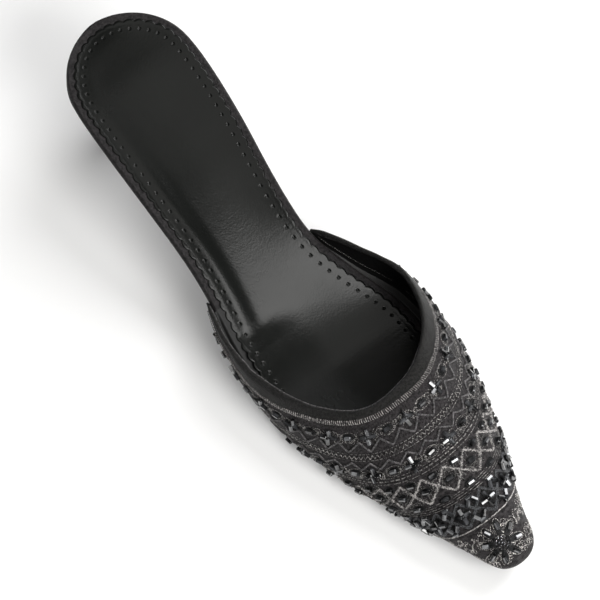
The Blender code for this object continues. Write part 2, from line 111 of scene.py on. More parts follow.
# Sizes of beads, loops and stitches. A stitch has its length and the gap to the next one.
BUGLE_SIDES = 6
BUGLE_RISE = 0.3 * MM  # a flower row's single bugles lie this much above its crosses
SHADE_LEAF = (2.1 * MM, 1.1 * MM)  # half length and half width of the black thread leaf under a bead, painted shade for the bead's shaded side and its shadow
CROSS_SHADE_LEAF = (1.6 * MM, 1.6 * MM)
SHADE_LEAF_THREAD = 0.34 * MM
FLOWER_OVAL = (3.3 * MM, 2.1 * MM)
FLOWER_SCROLL = (3.0 * MM, 2.6 * MM)  # how far a scroll reaches along and down from a cross
FLOWER_BAND = 2.8 * MM  # half the height of a flower row's scribbles
FLOWER_SCRIBBLES = ((1.1 * MM, 2.4 * MM, 11), (0.8 * MM, 1.7 * MM, 8))  # loop, advance and seed's step
SCROLL_STITCH = (0.6 * MM, 0.3 * MM)
SCRIBBLE_STITCH = (0.6 * MM, 0.35 * MM)
BORDER_STITCH = (1.2 * MM, 0.6 * MM)
RUNNING_STITCH_BOLD = (1.7 * MM, 0.8 * MM)
SIDE_STITCHES = ((-1.1 * MM, 1.4 * MM), (1.5 * MM, 3.4 * MM))  # offset and length beside the running stitch
SIDE_GAP = 0.9 * MM
STRAIGHT_STITCH = (5.0 * MM, 1.3 * MM)
LATTICE_STRANDS = (-0.4 * MM, 0.4 * MM)  # offsets of the two cords laid side by side
LATTICE_OUTER = 5.1 * MM  # from the lattice's middle to the bugles at its corners
LATTICE_SLANTED = (1.5 * MM, 3.2 * MM, 0.9)  # along, down and turn of the slanted bugles
TOE_STITCH = (0.65 * MM, 0.25 * MM)
TOE_RINGS = ((1.15 * MM, 5), (2.3 * MM, 11))  # radius and seed beads of the rings round the flower's heart
PALE_LOOP = (3.6 * MM, 5.8 * MM, 1.6 * MM)  # a petal's loop: its start, length and half width
BLACK_LOOPS = ((3.3 * MM, 5.4 * MM, 1.0 * MM), (3.6 * MM, 4.6 * MM, 0.45 * MM))
PETAL_RAYS = (-0.3, 0.0, 0.3)  # where the stitched rays stand between two petals

VAMP_GRID = (320, 84)
RIBBON_GRID = (420, 24)
LINING_GRID = (260, 12)
PATTERN_DEPTH = 30 * MM  # depth of the row along which the vamp's weave is measured
RIBBON_PATTERN_DEPTH = 3 * MM
QUILT_DEPTH = 0.22 * MM  # how far the satin sinks along its stitched rows
QUILT_WIDTH = 1.3 * MM
PUCKERS = ((1.9 * MM, 0.0), (2.7 * MM, 1.3), (4.3 * MM, 0.4))  # length and phase of the ribbon's waves
PUCKER_DEPTH = 0.05 * MM
TOPLINE_DIP = (1.6 * MM, -0.4, 0.5)  # depth, fan angle and width
TOPLINE_CREST = (1.5 * MM, -1.7, 0.5)
RIBBON_INSIDE = 5.0 * MM  # how far the ribbon reaches down inside
RIBBON_LIFT = 0.35 * MM
RIBBON_OVERLAP = 2.2 * MM  # how far the vamp goes up under the ribbon
WING_TAPER = 7 * MM
FACE_SHARE = 0.9  # share of the vamp's rows above the feather line
LINING_MARGIN = (-2.95, 1.25)  # fan angles between which lining covers the board's margin
LINING_REACH = 6.5 * MM
LINING_FOOT = 1.5 * MM  # it starts this far above the feather line and comes no further down
LINING_SEAM = (1.25, 2.95)  # fan angles of the stitches inside the inner wing

FEATHER_MARGIN = 1.2 * MM  # threads stop this far above the sole
FOOT_ROUND = 0.8 * MM  # how far in the cloth has come once it has turned under the foot
FOOT_TUCK = 2.6 * MM  # how far in it goes where it meets no board
FOOT_DROP = 0.8 * MM  # how far it drops where nothing lies beneath
FOOT_LEAST = 0.3 * MM  # the least that it drops and reaches in
BOARD_SEARCH = 8 * MM  # how far in the board's edge is looked for

# ---- the sock's outline and its bends

TOE_FAN = 14 * MM  # from the toe's end to the end of the board's middle line
HEEL_FAN = 26 * MM
SOCK_SPACING = 0.4 * MM
SOCK_ROWS = MM * np.array(
    [0.0, 0.15, 0.4, 0.8, 1.2, 1.55, 1.85, 2.1, 2.35, 2.6, 2.85, 3.15, 3.5, 4.1, 5.0, 6.2]
)
SOCK_INNER_ROWS = 12
SOCK_LIFT = 0.1 * MM  # room between the sock and the board
EDGE_ROUND = (0.25 * MM, 0.8 * MM)  # depth and width of the rounding at the sock's cut edge
EDGE_ROLL = (0.09 * MM, 0.4 * MM, 0.3 * MM)  # height, place and width of the rolled welt beside it
EDGE_GROOVE = (0.02 * MM, 1.2 * MM, 0.4 * MM)
HOLE_DEPTH = 0.5 * MM
HOLE_RIM = (0.03 * MM, 0.3 * MM)  # height and width of a pinhole's raised rim
BALL_BEND = (0.0, -0.22)  # where the bend at the ball crosses the middle, and its slant
BEND_DEPTH = 1.3 * MM
BEND_LENGTHS = (3 * MM, 13 * MM, 70 * MM)  # its rounding, its rise towards the heel and its fading
BEND_INNER_END = (-10 * MM, 26 * MM)  # where the bend fades to the inner side, and over how far
BEND_MARGIN = 7 * MM  # over how much of the sock's margin it comes down to the board
CUSHION_SLOPE = 0.07  # how steeply the sock rises to the outer side under the ball
CUSHION_ROUND = (2 * MM, 6 * MM)  # where that slope starts beside the middle, and its rounding
CUSHION_END = (-4 * MM, 10 * MM)  # where that fades towards the heel, and over how far
FOREFOOT_LIFT = (0.4 * MM, -33 * MM, 13 * MM)  # lift of the level forefoot, where it fades and over how far
CUP_CREST = 8.2 * MM  # from the board's outer edge to the crest of the sock's low welt
CUP_REACH = 15.5 * MM  # from the board's outer edge to where the sock starts to rise
CUP_RISE = 0.6 * MM
CUP_START = 8 * MM  # over how far behind the bend the welt starts
CUP_FADE = (42 * MM, 44 * MM)  # where it starts to fade towards the heel, and over how far

# ---- the stage's lights

# Each light's name, place, size, power, colour and turn about its own axis.
LIGHTS = (
    ("key", (1.0, 0.15, 1.1), 0.9, 18.5, (1.0, 1.0, 1.0), 0.0),
    ("front", (0.11, -0.93, 0.915), 0.7, 16.5, (1.0, 0.995, 0.98), math.radians(8)),
    ("overhead", (-0.07, -0.42, 2.95), 2.0, 19.5, (1.0, 0.985, 0.955), 0.0),
    ("rim", (-0.3, 1.1, 0.8), 0.4, 0.8, (1.0, 1.0, 1.0), 0.0),
)


# ---- settings


def colour_setting(name, description, default):
    return FloatVectorProperty(
        name=name, description=description, subtype="COLOR", size=3, min=0.0, max=1.0, default=default
    )


def length_setting(name, description, default, low=0.0, high=0.1):
    return FloatProperty(
        name=name, description=description, unit="LENGTH", precision=5, min=low, max=high, default=default
    )


def angle_setting(name, description, degrees):
    return FloatProperty(name=name, description=description, unit="ROTATION", default=math.radians(degrees))


def number_setting(name, description, default, high, low=0.0):
    return FloatProperty(name=name, description=description, min=low, max=high, default=default)


class MuleClothSettings(bpy.types.PropertyGroup):
    """Satin, ribbon and lining."""

    satin: colour_setting("Satin", "Colour of the vamp's satin", (0.0215, 0.0195, 0.0203))
    ribbon: colour_setting("Ribbon", "Colour of the topline ribbon", (0.0105, 0.0102, 0.0098))
    lining: colour_setting("Lining", "Colour of the vamp's lining", (0.0045, 0.0045, 0.0045))
    wall: length_setting("Wall", "Thickness of the satin and its lining", 1.5 * MM, 0.0005, 0.003)
    piping: length_setting("Piping", "Radius of the piped seam along the topline", 0.16 * MM, 0.0001, 0.002)


class MuleThreadSettings(bpy.types.PropertyGroup):
    """Cords, threads and their stitches."""

    pale: colour_setting("Pale thread", "Ladder stitch, diamonds and raised cord", (0.245, 0.233, 0.226))
    cord: colour_setting("Cord", "Twisted zigzag cords", (0.065, 0.0615, 0.063))
    metal: colour_setting("Metal thread", "Fine scrolls and running stitches", (0.26, 0.25, 0.24))
    lattice: colour_setting("Lattice cord", "Cords of the dark lattice", (0.04, 0.0415, 0.045))
    cord_radius: length_setting("Cord radius", "Radius of one ply of a zigzag cord", 0.23 * MM)
    thread_radius: length_setting("Thread radius", "Radius of the fine threads", 0.12 * MM)
    ladder_pitch: length_setting("Ladder pitch", "From one ladder stitch to the next", 0.87 * MM)


class MuleBeadSettings(bpy.types.PropertyGroup):
    """Bugle and seed beads."""

    glass: colour_setting("Glass", "Colour of the black glass", (0.006, 0.0062, 0.0066))
    bugle_length: length_setting("Bugle length", "Length of a bugle bead", 2.75 * MM)
    bugle_radius: length_setting("Bugle radius", "Radius of a bugle bead", 0.86 * MM)
    seed_radius: length_setting("Seed radius", "Radius of a seed bead", 0.75 * MM)


class MuleSockSettings(bpy.types.PropertyGroup):
    """Sock lining on the footbed."""

    leather: colour_setting("Leather", "Colour of the sock", (0.0045, 0.0050, 0.0045))
    inset: length_setting("Inset", "From the footbed's edge to the sock's edge", 3.9 * MM)
    thickness: length_setting("Thickness", "Thickness of the sock", 0.3 * MM)
    scallop_pitch: length_setting("Scallop pitch", "From one scallop to the next", 4.3 * MM)
    scallop_depth: length_setting("Scallop depth", "How far a scallop stands out", 1.0 * MM)
    hole_inset: length_setting("Hole inset", "From the sock's edge to its row of pinholes", 2.9 * MM)
    hole_radius: length_setting("Hole radius", "Radius of a pinhole", 0.45 * MM)


class MuleSoleSettings(bpy.types.PropertyGroup):
    """Sole, covered heel and top piece."""

    sole: colour_setting("Sole", "Colour of the leather sole", (0.014, 0.013, 0.012))
    rubber: colour_setting("Rubber", "Colour of the top piece", (0.013, 0.013, 0.013))
    smoothing: IntProperty(name="Smoothing", description="Subdivision levels", min=0, max=3, default=2)


class MuleStageSettings(bpy.types.PropertyGroup):
    """Camera, floor and lights."""

    azimuth: angle_setting("Azimuth", "Camera's turn", -38.8)
    elevation: angle_setting("Elevation", "Camera's height", 70)
    distance: length_setting("Distance", "From the camera to its target", 1.0, 0.2, 10.0)
    target: FloatVectorProperty(
        name="Target",
        description="Where the camera looks",
        unit="LENGTH",
        size=3,
        default=(-0.0014, 0.002, 0.020),
    )
    lens: number_setting("Lens", "Focal length in mm", 152.3, 300, 20)
    floor: colour_setting("Floor", "Colour of the floor", (0.72, 0.72, 0.72))
    glow: number_setting("Floor glow", "Light of the lit floor itself", 0.17, 2)
    world: number_setting("Ambient", "Strength of the ambient light", 0.07, 5)


# ---- meshes and objects


def solid_copy(node):
    """A bmesh of a CAD node, its loose triangles merged and paired into quads again."""
    mesh = bmesh.new()
    mesh.from_mesh(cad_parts[node].data)
    bmesh.ops.remove_doubles(mesh, verts=mesh.verts, dist=MERGE)
    bmesh.ops.join_triangles(
        mesh,
        faces=mesh.faces,
        angle_face_threshold=math.radians(50),
        angle_shape_threshold=math.radians(100),
    )
    return mesh


def crease_sharp_edges(mesh, degrees):
    """Keeps the edges sharper than this where they are under subdivision."""
    layer = mesh.edges.layers.float.new("crease_edge")
    for edge in mesh.edges:
        if edge.calc_face_angle(0.0) > math.radians(degrees):
            edge[layer] = 1.0


def subdivide(piece, levels):
    modifier = piece.modifiers.new("smooth", "SUBSURF")
    modifier.levels = levels
    modifier.render_levels = levels


def thicken(piece, thickness):
    """Gives a sheet its thickness, all of it below the face."""
    wall = piece.modifiers.new("wall", "SOLIDIFY")
    wall.thickness = thickness
    wall.offset = -1.0
    return wall


def linked(name, data):
    """An object with this data, linked to the scene."""
    item = bpy.data.objects.new(name, data)
    bpy.context.scene.collection.objects.link(item)
    return item


def mesh_data(name, mesh):
    """A bmesh's faces as mesh data; the bmesh is freed."""
    data = bpy.data.meshes.new(name)
    mesh.to_mesh(data)
    mesh.free()
    return data


def new_piece(name, mesh, finishes, replaces=(), smooth=True):
    """An object from a bmesh or a mesh in these finishes, riding on the shoe."""
    data = mesh_data(name, mesh) if isinstance(mesh, bmesh.types.BMesh) else mesh
    data.name = name
    for finish in finishes:
        data.materials.append(finish_of(finish))
    if smooth:
        data.shade_smooth()
    piece = linked(name, data)
    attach(piece, BODY)
    if replaces:
        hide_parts(*replaces)
    return piece


def ray_tree(node):
    """A ray tree over a smoothed copy of a node."""
    mesh = solid_copy(node)
    crease_sharp_edges(mesh, 40)
    holder = linked("smoothed", mesh_data("smoothed", mesh))
    subdivide(holder, 2)
    tree = BVHTree.FromObject(holder, bpy.context.evaluated_depsgraph_get())
    bpy.data.meshes.remove(holder.data)
    return tree


def height_at(tree, x, y):
    """Height of the highest face over this spot, or None."""
    hit = tree.ray_cast(Vector((x, y, ABOVE_ALL)), Vector((0, 0, -1)))[0]
    return None if hit is None else hit.z


def bent_grid(columns, rows, place):
    """A grid bent into shape. place turns arrays of shares, 0 to 1, into points and UV in metres."""
    mesh = bmesh.new()
    bmesh.ops.create_grid(mesh, x_segments=columns, y_segments=rows, size=0.5)
    flat = np.array([vertex.co[:2] for vertex in mesh.verts]) + 0.5
    points, pattern = place(flat[:, 0], flat[:, 1])
    for vertex, point in zip(mesh.verts, points):
        vertex.co = point
    mesh.verts.index_update()
    layer = mesh.loops.layers.uv.new("weave")
    for face in mesh.faces:
        for loop in face.loops:
            loop[layer].uv = pattern[loop.vert.index]
    return mesh


def threads(paths, radius, resolution=1):
    """One mesh of round threads, a bevelled poly spline for each path."""
    curve = bpy.data.curves.new("threads", "CURVE")
    curve.dimensions = "3D"
    curve.bevel_depth = radius
    curve.bevel_resolution = resolution
    curve.use_fill_caps = True
    for path in paths:
        spline = curve.splines.new("POLY")
        spline.points.add(len(path) - 1)
        spline.points.foreach_set("co", np.column_stack([path, np.ones(len(path))]).ravel())
    holder = bpy.data.objects.new("threads", curve)
    mesh = bpy.data.meshes.new_from_object(holder)
    bpy.data.objects.remove(holder)
    bpy.data.curves.remove(curve)
    return mesh


def sew(name, paths, radius, finish, resolution=1):
    """A piece of round threads along these paths."""
    return new_piece(name, threads(paths, radius, resolution), [finish])


def joined(meshes):
    """Several meshes as one bmesh."""
    mesh = bmesh.new()
    for part in meshes:
        mesh.from_mesh(part)
        bpy.data.meshes.remove(part)
    return mesh


def from_lowest(corners):
    """A face's corners in their own order, the lowest index first."""
    start = corners.index(min(corners))
    return corners[start:] + corners[:start]


def copies(prototype, places):
    """One mesh of many copies of a bmesh. places is (origins, x axes, y axes, z axes)."""
    prototype.verts.sort(key=lambda vertex: vertex.co.dot(SORTING_SLANT))
    prototype.verts.index_update()
    shape = np.array([vertex.co for vertex in prototype.verts])
    faces = sorted(from_lowest([vertex.index for vertex in face.verts]) for face in prototype.faces)
    rounded = prototype.faces[:][0].smooth
    prototype.free()
    points = places[0][:, None, :]
    for axis in range(3):
        points = points + shape[None, :, axis : axis + 1] * places[axis + 1][:, None, :]
    starts = range(0, points.shape[0] * points.shape[1], len(shape))
    all_faces = [[index + start for index in face] for start in starts for face in faces]
    mesh = bpy.data.meshes.new("copies")
    mesh.from_pydata(points.reshape(-1, 3), [], all_faces)
    if rounded:
        mesh.shade_smooth()
    return mesh


# ---- the vamp's surface


def unit(vectors):
    return vectors / np.maximum(np.linalg.norm(vectors, axis=-1, keepdims=True), 1e-12)


def run_lengths(points):
    steps = np.linalg.norm(np.diff(points, axis=0), axis=1)
    return np.concatenate([[0.0], np.cumsum(steps)])


def sampled(points, run, at):
    """Places on a line of points, at these values of its run."""
    return np.stack([np.interp(at, run, points[:, axis]) for axis in range(points.shape[1])], axis=-1)


def evened(values, passes):
    """Values along the first axis, evened out with their neighbours."""
    for _ in range(passes):
        padded = np.concatenate([values[:1], values, values[-1:]])
        values = (padded[:-2] + 2 * padded[1:-1] + padded[2:]) / 4
    return values


def smooth_step(share):
    share = np.clip(share, 0, 1)
    return share * share * (3 - 2 * share)


def fade_out(value, start, length):
    """1 up to start, falling to 0 over length."""
    return 1 - smooth_step((value - start) / length)


def ridge(value, height, place, width):
    """A soft ridge of this height and half width."""
    return height * np.exp(-(((value - place) / width) ** 2))


class VampSurface:
    """The vamp's outer face, addressed by an angle of the fan and a depth below the topline.

    The fan's centre is inside the shoe. Angle 0 points to the toe and grows to the inner side.
    Past a quarter turn the lines stand square to the shoe and slide back along the wings.
    """

    def __init__(self):
        low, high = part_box("upper")
        back = FAN_SHARE * (high.y - low.y)
        self.centre = np.array([(low.x + high.x) / 2, high.y - back, FAN_HEIGHT])
        self.trees = [ray_tree("topline_binding"), ray_tree("upper")]
        self.board = ray_tree("insole_board")
        share = np.linspace(-1, 1, FAN_COLUMNS)
        spread = math.pi / 2 + back / FAN_SLIDE
        angles = spread * (FAN_CROWDING * share + (1 - FAN_CROWDING) * share**3)
        profiles = [self.profile(angle) for angle in angles]
        found = [index for index, profile in enumerate(profiles) if profile is not None]
        first, last = found[0], found[-1]
        self.angles = angles[first : last + 1]
        depths = np.arange(DEPTH_ROWS) * DEPTH_STEP
        grid, lengths, ends = [], [], []
        for angle, profile in zip(self.angles, profiles[first : last + 1]):
            lengths.append(run_lengths(profile)[-1])
            profile = self.turned_under(profile, angle)
            run = run_lengths(profile)
            ends.append(run[-1])
            row = sampled(profile, run, depths)
            row += np.maximum(depths - run[-1], 0)[:, None] * unit(profile[-1] - profile[-3])
            grid.append(row)
        self.lengths = evened(np.array(lengths), 3)
        self.ends = evened(np.array(ends), 3)
        self.grid = evened(np.array(grid), 3)
        self.grid = evened(self.grid.swapaxes(0, 1), 2).swapaxes(0, 1)
        along = np.gradient(self.grid, axis=0)
        down = np.gradient(self.grid, axis=1)
        self.normals = unit(evened(unit(np.cross(down, along)), 2))
        self.alongs = unit(along)
        self.downs = unit(down)

    def line(self, angle):
        """Where the fan's line at this angle starts, and which way it points."""
        turn = min(max(angle, -math.pi / 2), math.pi / 2)
        slide = (abs(angle) - abs(turn)) * FAN_SLIDE
        return self.centre + np.array([0.0, slide, 0.0]), np.array([math.sin(turn), -math.cos(turn), 0.0])

    def turned_under(self, profile, angle):
        """The profile carried round its foot to the board, as lasted cloth is."""
        outward = self.line(angle)[1]
        foot = profile[-1]
        below = foot - outward * FOOT_ROUND
        floor = self.trees[1].ray_cast(Vector((below[0], below[1], -MM)), Vector(UP))[0]
        bottom = foot[2] - FOOT_DROP if floor is None else min(floor.z, foot[2] - FOOT_LEAST)
        start = Vector((foot[0], foot[1], bottom + 2 * FOOT_DROP))
        board = self.board.ray_cast(start, Vector(-outward), BOARD_SEARCH)
        reach = FOOT_TUCK if board[0] is None else min(board[3] - 0.2 * MM, 2 * FOOT_TUCK)
        turn = np.linspace(0, math.pi / 2, 8)[1:, None]
        drop = foot[2] - bottom
        bend = foot - outward * FOOT_ROUND * (1 - np.cos(turn)) - UP * drop * np.sin(turn)
        tuck = bend[-1] - outward * np.linspace(0, max(reach - FOOT_ROUND, FOOT_LEAST), 4)[1:, None]
        return np.concatenate([profile, bend, tuck])

    def profile(self, angle):
        """The outer face in the fan's plane at this angle, topline first, or None beyond the wings."""
        centre, outward = self.line(angle)
        hits, normals = [], []
        for tilt in RAY_TILTS:
            direction = outward * math.cos(tilt) + UP * math.sin(tilt)
            start = Vector(centre + direction * RAY_REACH)
            nearest = None
            for tree in self.trees:
                place, normal, _, distance = tree.ray_cast(start, Vector(-direction), RAY_REACH)
                if place is not None and (nearest is None or distance < nearest[2]):
                    nearest = (place, normal, distance)
            if nearest is not None:
                hits.append(nearest[0])
                normals.append(nearest[1])
        if len(hits) < FEWEST_HITS:
            return None
        hits, normals = np.array(hits), np.array(normals)
        index = np.arange(len(hits))
        ahead = np.minimum(index + COURSE_REACH, len(hits) - 1)
        course = unit(hits[ahead] - hits[np.maximum(index - COURSE_REACH, 0)])
        facing = np.abs(np.sum(course * normals, axis=1)) < EDGE_ON
        kept = hits[facing & (normals[:, 2] > UNDERSIDE)]
        return kept if len(kept) > FEWEST_KEPT else None

    def look_up(self, table, angle, depth):
        column = np.interp(angle, self.angles, np.arange(len(self.angles)))
        row = np.clip(np.asarray(depth) / DEPTH_STEP, 0, DEPTH_ROWS - 1.001)
        i = np.minimum(column.astype(int), len(self.angles) - 2)
        j = row.astype(int)
        u, v = (column - i)[..., None], (row - j)[..., None]
        return (
            table[i, j] * (1 - u) * (1 - v)
            + table[i + 1, j] * u * (1 - v)
            + table[i, j + 1] * (1 - u) * v
            + table[i + 1, j + 1] * u * v
        )

    def at(self, angle, depth, lift=0.0):
        """Points at fan angles and depths, lifted off the face."""
        angle, depth = np.broadcast_arrays(angle, depth)
        lift = np.broadcast_to(lift, angle.shape)
        above = self.look_up(self.downs, angle, depth) * np.minimum(depth, 0)[..., None]
        return self.look_up(self.grid, angle, depth) + above + self.normal(angle, depth) * lift[..., None]

    def normal(self, angle, depth):
        return unit(self.look_up(self.normals, angle, depth))

    def axes(self, angle, depth):
        """Unit vectors along the row, down the vamp and away from it."""
        angle, depth = np.broadcast_arrays(angle, depth)
        normal = self.normal(angle, depth)
        along = self.look_up(self.alongs, angle, depth)
        along = unit(along - normal * np.sum(along * normal, axis=-1, keepdims=True))
        return along, np.cross(along, normal), normal

    def run(self, depth):
        """Lengths along the row at this depth, one for each line of the fan."""
        return run_lengths(self.at(self.angles, depth))

    def angle(self, share):
        """The angle at this share of the way through the fan's lines."""
        return np.interp(share, np.linspace(0, 1, len(self.angles)), self.angles)

    def length(self, angle):
        """Depth of the feather line, where the vamp meets the sole."""
        return np.interp(angle, self.angles, self.lengths)

    def end(self, angle):
        """Depth at which the cloth ends, turned under against the board."""
        return np.interp(angle, self.angles, self.ends)

    def taper(self, angle):
        """1 over the vamp, falling to 0 at the wings' ends."""
        from_end = np.minimum(self.angles[-1] - angle, angle - self.angles[0]) * FAN_SLIDE
        return smooth_step(from_end / WING_TAPER)


class Row:
    """A line along the vamp at one depth, measured from the toe's middle; positive to the inner side."""

    def __init__(self, depth):
        self.depth = depth
        self.run = VAMP.run(depth)
        self.run -= np.interp(0.0, VAMP.angles, self.run)
        shut = np.flatnonzero(VAMP.lengths <= depth + FEATHER_MARGIN)
        middle = int(np.argmin(np.abs(VAMP.angles)))
        self.low = self.run[max(shut[shut < middle], default=-1) + 1]
        self.high = self.run[min(shut[shut > middle], default=len(self.run)) - 1]

    def angle(self, along):
        return np.interp(along, self.run, VAMP.angles)

    def point(self, along, depth, lift=0.0):
        return VAMP.at(self.angle(along), depth, lift)

    def on_face(self, along, depth):
        """Whether these places lie on the vamp, above the sole."""
        inside = (along > self.run[0]) & (along < self.run[-1])
        return inside & (depth < VAMP.length(self.angle(along)) - FEATHER_MARGIN)

    def path(self, along, depth, lift):
        """A path along the face, cut where it would run into the sole."""
        along, depth = np.broadcast_arrays(along, depth)
        inside = self.on_face(along, depth)
        points = self.point(along, depth, lift)
        runs = [list(run) for _, run in itertools.groupby(range(len(inside)), inside.__getitem__)]
        return [points[run] for run in runs if inside[run[0]] and len(run) > 2]


VAMP = VampSurface()


def zigzag(along, pitch, shift=0.0):
    """-1 at the peaks and 1 at the valleys; a valley lies at shift."""
    phase = ((along - shift) / pitch) % 1.0
    return 1 - 4 * np.abs(phase - np.round(phase))


def rounded_zigzag(along, pitch, shift):
    """The same with its corners a little rounded, as a laid cord turns."""
    return sum(zigzag(along + pitch * step, pitch, shift) for step in CORNER_STEPS) / len(CORNER_STEPS)


def dashes(paths, dash, gap, shift=0.0):
    """Paths cut into stitches of this length, with this gap between them."""
    stitches = []
    for path in paths:
        run = run_lengths(path)
        for start in np.arange(shift, run[-1] - dash, dash + gap):
            stitches.append(sampled(path, run, start + dash * np.linspace(0, 1, 4)))
    return stitches


# ---- shader node groups


def new_group(name, setting, value):
    """A shader node group from a Vector and one setting to a Height for bumps and a Tone for colour."""
    group = bpy.data.node_groups.new(name, "ShaderNodeTree")
    group.interface.new_socket(name="Vector", in_out="INPUT", socket_type="NodeSocketVector")
    socket = group.interface.new_socket(name=setting, in_out="INPUT", socket_type="NodeSocketFloat")
    socket.default_value = value
    for output in ("Height", "Tone"):
        group.interface.new_socket(name=output, in_out="OUTPUT", socket_type="NodeSocketFloat")
    start = group.nodes.new("NodeGroupInput")
    return group, start.outputs["Vector"], start.outputs[setting]


def close_group(group, height, tone):
    end = group.nodes.new("NodeGroupOutput")
    group.links.new(height, end.inputs["Height"])
    group.links.new(tone, end.inputs["Tone"])
    return group


def set_or_link(tree, socket, value):
    """Sets a socket to a plain value, or links another node's socket to it."""
    if isinstance(value, bpy.types.NodeSocket):
        tree.links.new(value, socket)
    else:
        socket.default_value = value


def math_node(tree, operation, *values):
    node = tree.nodes.new("ShaderNodeMath")
    node.operation = operation
    for socket, value in zip(node.inputs, values):
        set_or_link(tree, socket, value)
    return node.outputs["Value"]


def weighted(tree, *parts):
    """Sum of values, each given with its weight."""
    values = [value if weight == 1 else math_node(tree, "MULTIPLY", value, weight) for value, weight in parts]
    return functools.reduce(lambda total, value: math_node(tree, "ADD", total, value), values)


def stretched(tree, tone, middle, gain):
    """A tone stretched about its middle, which turns to 0."""
    return math_node(tree, "MULTIPLY", math_node(tree, "SUBTRACT", tone, middle), gain)


def noise_node(tree, vector, scale, detail=2.0, roughness=0.5):
    node = tree.nodes.new("ShaderNodeTexNoise")
    node.inputs["Scale"].default_value = scale
    node.inputs["Detail"].default_value = detail
    node.inputs["Roughness"].default_value = roughness
    tree.links.new(vector, node.inputs["Vector"])
    return node.outputs["Fac"]


def mix_colours(tree, factor, first, second):
    node = tree.nodes.new("ShaderNodeMix")
    node.data_type = "RGBA"
    for socket, value in zip((node.inputs[0], node.inputs[6], node.inputs[7]), (factor, first, second)):
        set_or_link(tree, socket, value)
    return node.outputs[2]


@functools.cache
def satin_weave():
    """Fine warp floats with crossing wefts and specks."""
    group, vector, pitch = new_group("satin weave", "Pitch", 0.35 * MM)
    split = group.nodes.new("ShaderNodeSeparateXYZ")
    group.links.new(vector, split.inputs["Vector"])
    turns = math_node(group, "DIVIDE", 2 * math.pi, pitch)
    warp_phase = math_node(group, "MULTIPLY", split.outputs["X"], turns)
    weft_phase = math_node(group, "MULTIPLY", split.outputs["Y"], turns)
    warp = math_node(group, "SINE", weighted(group, (warp_phase, 1), (weft_phase, 0.35)))
    crossing = math_node(group, "MAXIMUM", warp, math_node(group, "SINE", weft_phase))
    slub = noise_node(group, vector, 900.0, 3.0, 0.6)
    specks = noise_node(group, vector, 900.0, 3.0, 0.75)
    patches = noise_node(group, vector, 130.0, 4.0, 0.62)
    height = weighted(group, (crossing, 0.4), (slub, 1), (specks, 1.5))
    # The tone's light specks stand in for the satin's sheen: painted sheen in the colour.
    tone = weighted(group, (slub, 0.5), (patches, 0.5), (stretched(group, specks, 0.5, 4.0), 1))
    return close_group(group, height, tone)


@functools.cache
def leather_grain():
    """Fine pebbled grain with a few creases."""
    group, vector, scale = new_group("leather grain", "Scale", 1400.0)
    cells = group.nodes.new("ShaderNodeTexVoronoi")
    cells.feature = "SMOOTH_F1"
    group.links.new(vector, cells.inputs["Vector"])
    group.links.new(scale, cells.inputs["Scale"])
    cells.inputs["Smoothness"].default_value = 0.6
    creases = noise_node(group, vector, 260.0, 5.0, 0.6)
    height = weighted(group, (cells.outputs["Distance"], 0.6), (creases, 1))
    return close_group(group, height, noise_node(group, vector, 45.0, 4.0, 0.6))


# ---- materials


def new_material(name, roughness, **values):
    """A material with its Principled shader's plain values set on its own sockets."""
    material = bpy.data.materials.new(name)
    material.use_nodes = True
    shader = material.node_tree.nodes["Principled BSDF"]
    shader.inputs["Roughness"].default_value = roughness
    for socket, value in values.items():
        shader.inputs[socket.replace("_", " ")].default_value = value
    return material, material.node_tree, shader


def vector_from(tree, source):
    """Object coordinates, or the piece's own UV in metres."""
    if source == "UV":
        node = tree.nodes.new("ShaderNodeUVMap")
        node.uv_map = "weave"
        return node.outputs["UV"]
    return tree.nodes.new("ShaderNodeTexCoord").outputs["Object"]


def place_group(tree, make, vector, **values):
    node = tree.nodes.new("ShaderNodeGroup")
    node.node_tree = make()
    tree.links.new(vector, node.inputs["Vector"])
    for socket, value in values.items():
        node.inputs[socket].default_value = value
    return node


def bump(tree, shader, height, distance):
    node = tree.nodes.new("ShaderNodeBump")
    node.inputs["Distance"].default_value = distance
    node.inputs["Strength"].default_value = 1.0
    tree.links.new(height, node.inputs["Height"])
    tree.links.new(node.outputs["Normal"], shader.inputs["Normal"])


def scaled(colour, factor):
    return [channel * factor for channel in colour]


def tinted(tree, shader, tone, colour, low, high):
    """Base colour between a darker and a lighter shade, by a tone of 0 to 1."""
    dark, light = ((*scaled(colour, factor), 1.0) for factor in (low, high))
    tree.links.new(mix_colours(tree, tone, dark, light), shader.inputs["Base Color"])


def cloth(name, colour, roughness, source="UV", pitch=0.35 * MM, relief=0.12 * MM, low=0.2, high=2.1):
    """Woven satin: weave in the bump, mottled tone and a soft sheen; the tone's light specks are painted
    sheen.
    """
    material, tree, shader = new_material(
        name, roughness, Sheen_Weight=0.04, Sheen_Roughness=0.45, Specular_IOR_Level=0.12
    )
    weave = place_group(tree, satin_weave, vector_from(tree, source), Pitch=pitch)
    tinted(tree, shader, weave.outputs["Tone"], colour, low, high)
    bump(tree, shader, weave.outputs["Height"], relief)
    return material


def thread(name, colour, roughness=0.5, metallic=0.0, sheen=0.2, level=0.5):
    """Spun thread, with its plies in the bump and lighter and darker places; the lightest are painted glints.
    """
    material, tree, shader = new_material(
        name,
        roughness,
        Metallic=metallic,
        Specular_IOR_Level=level,
        Sheen_Weight=sheen,
        Sheen_Roughness=0.4,
    )
    vector = vector_from(tree, "OBJECT")
    fibres = noise_node(tree, vector, 2600.0, 2.0, 0.6)
    patches = noise_node(tree, vector, 1300.0, 3.0, 0.7)
    # The lightest patches, up to twice the colour, are painted glints, the sparkle of the fibres.
    tinted(tree, shader, stretched(tree, patches, 0.43, 7.0), colour, 0.06, 2.1)
    bump(tree, shader, fibres, 0.05 * MM)
    return material


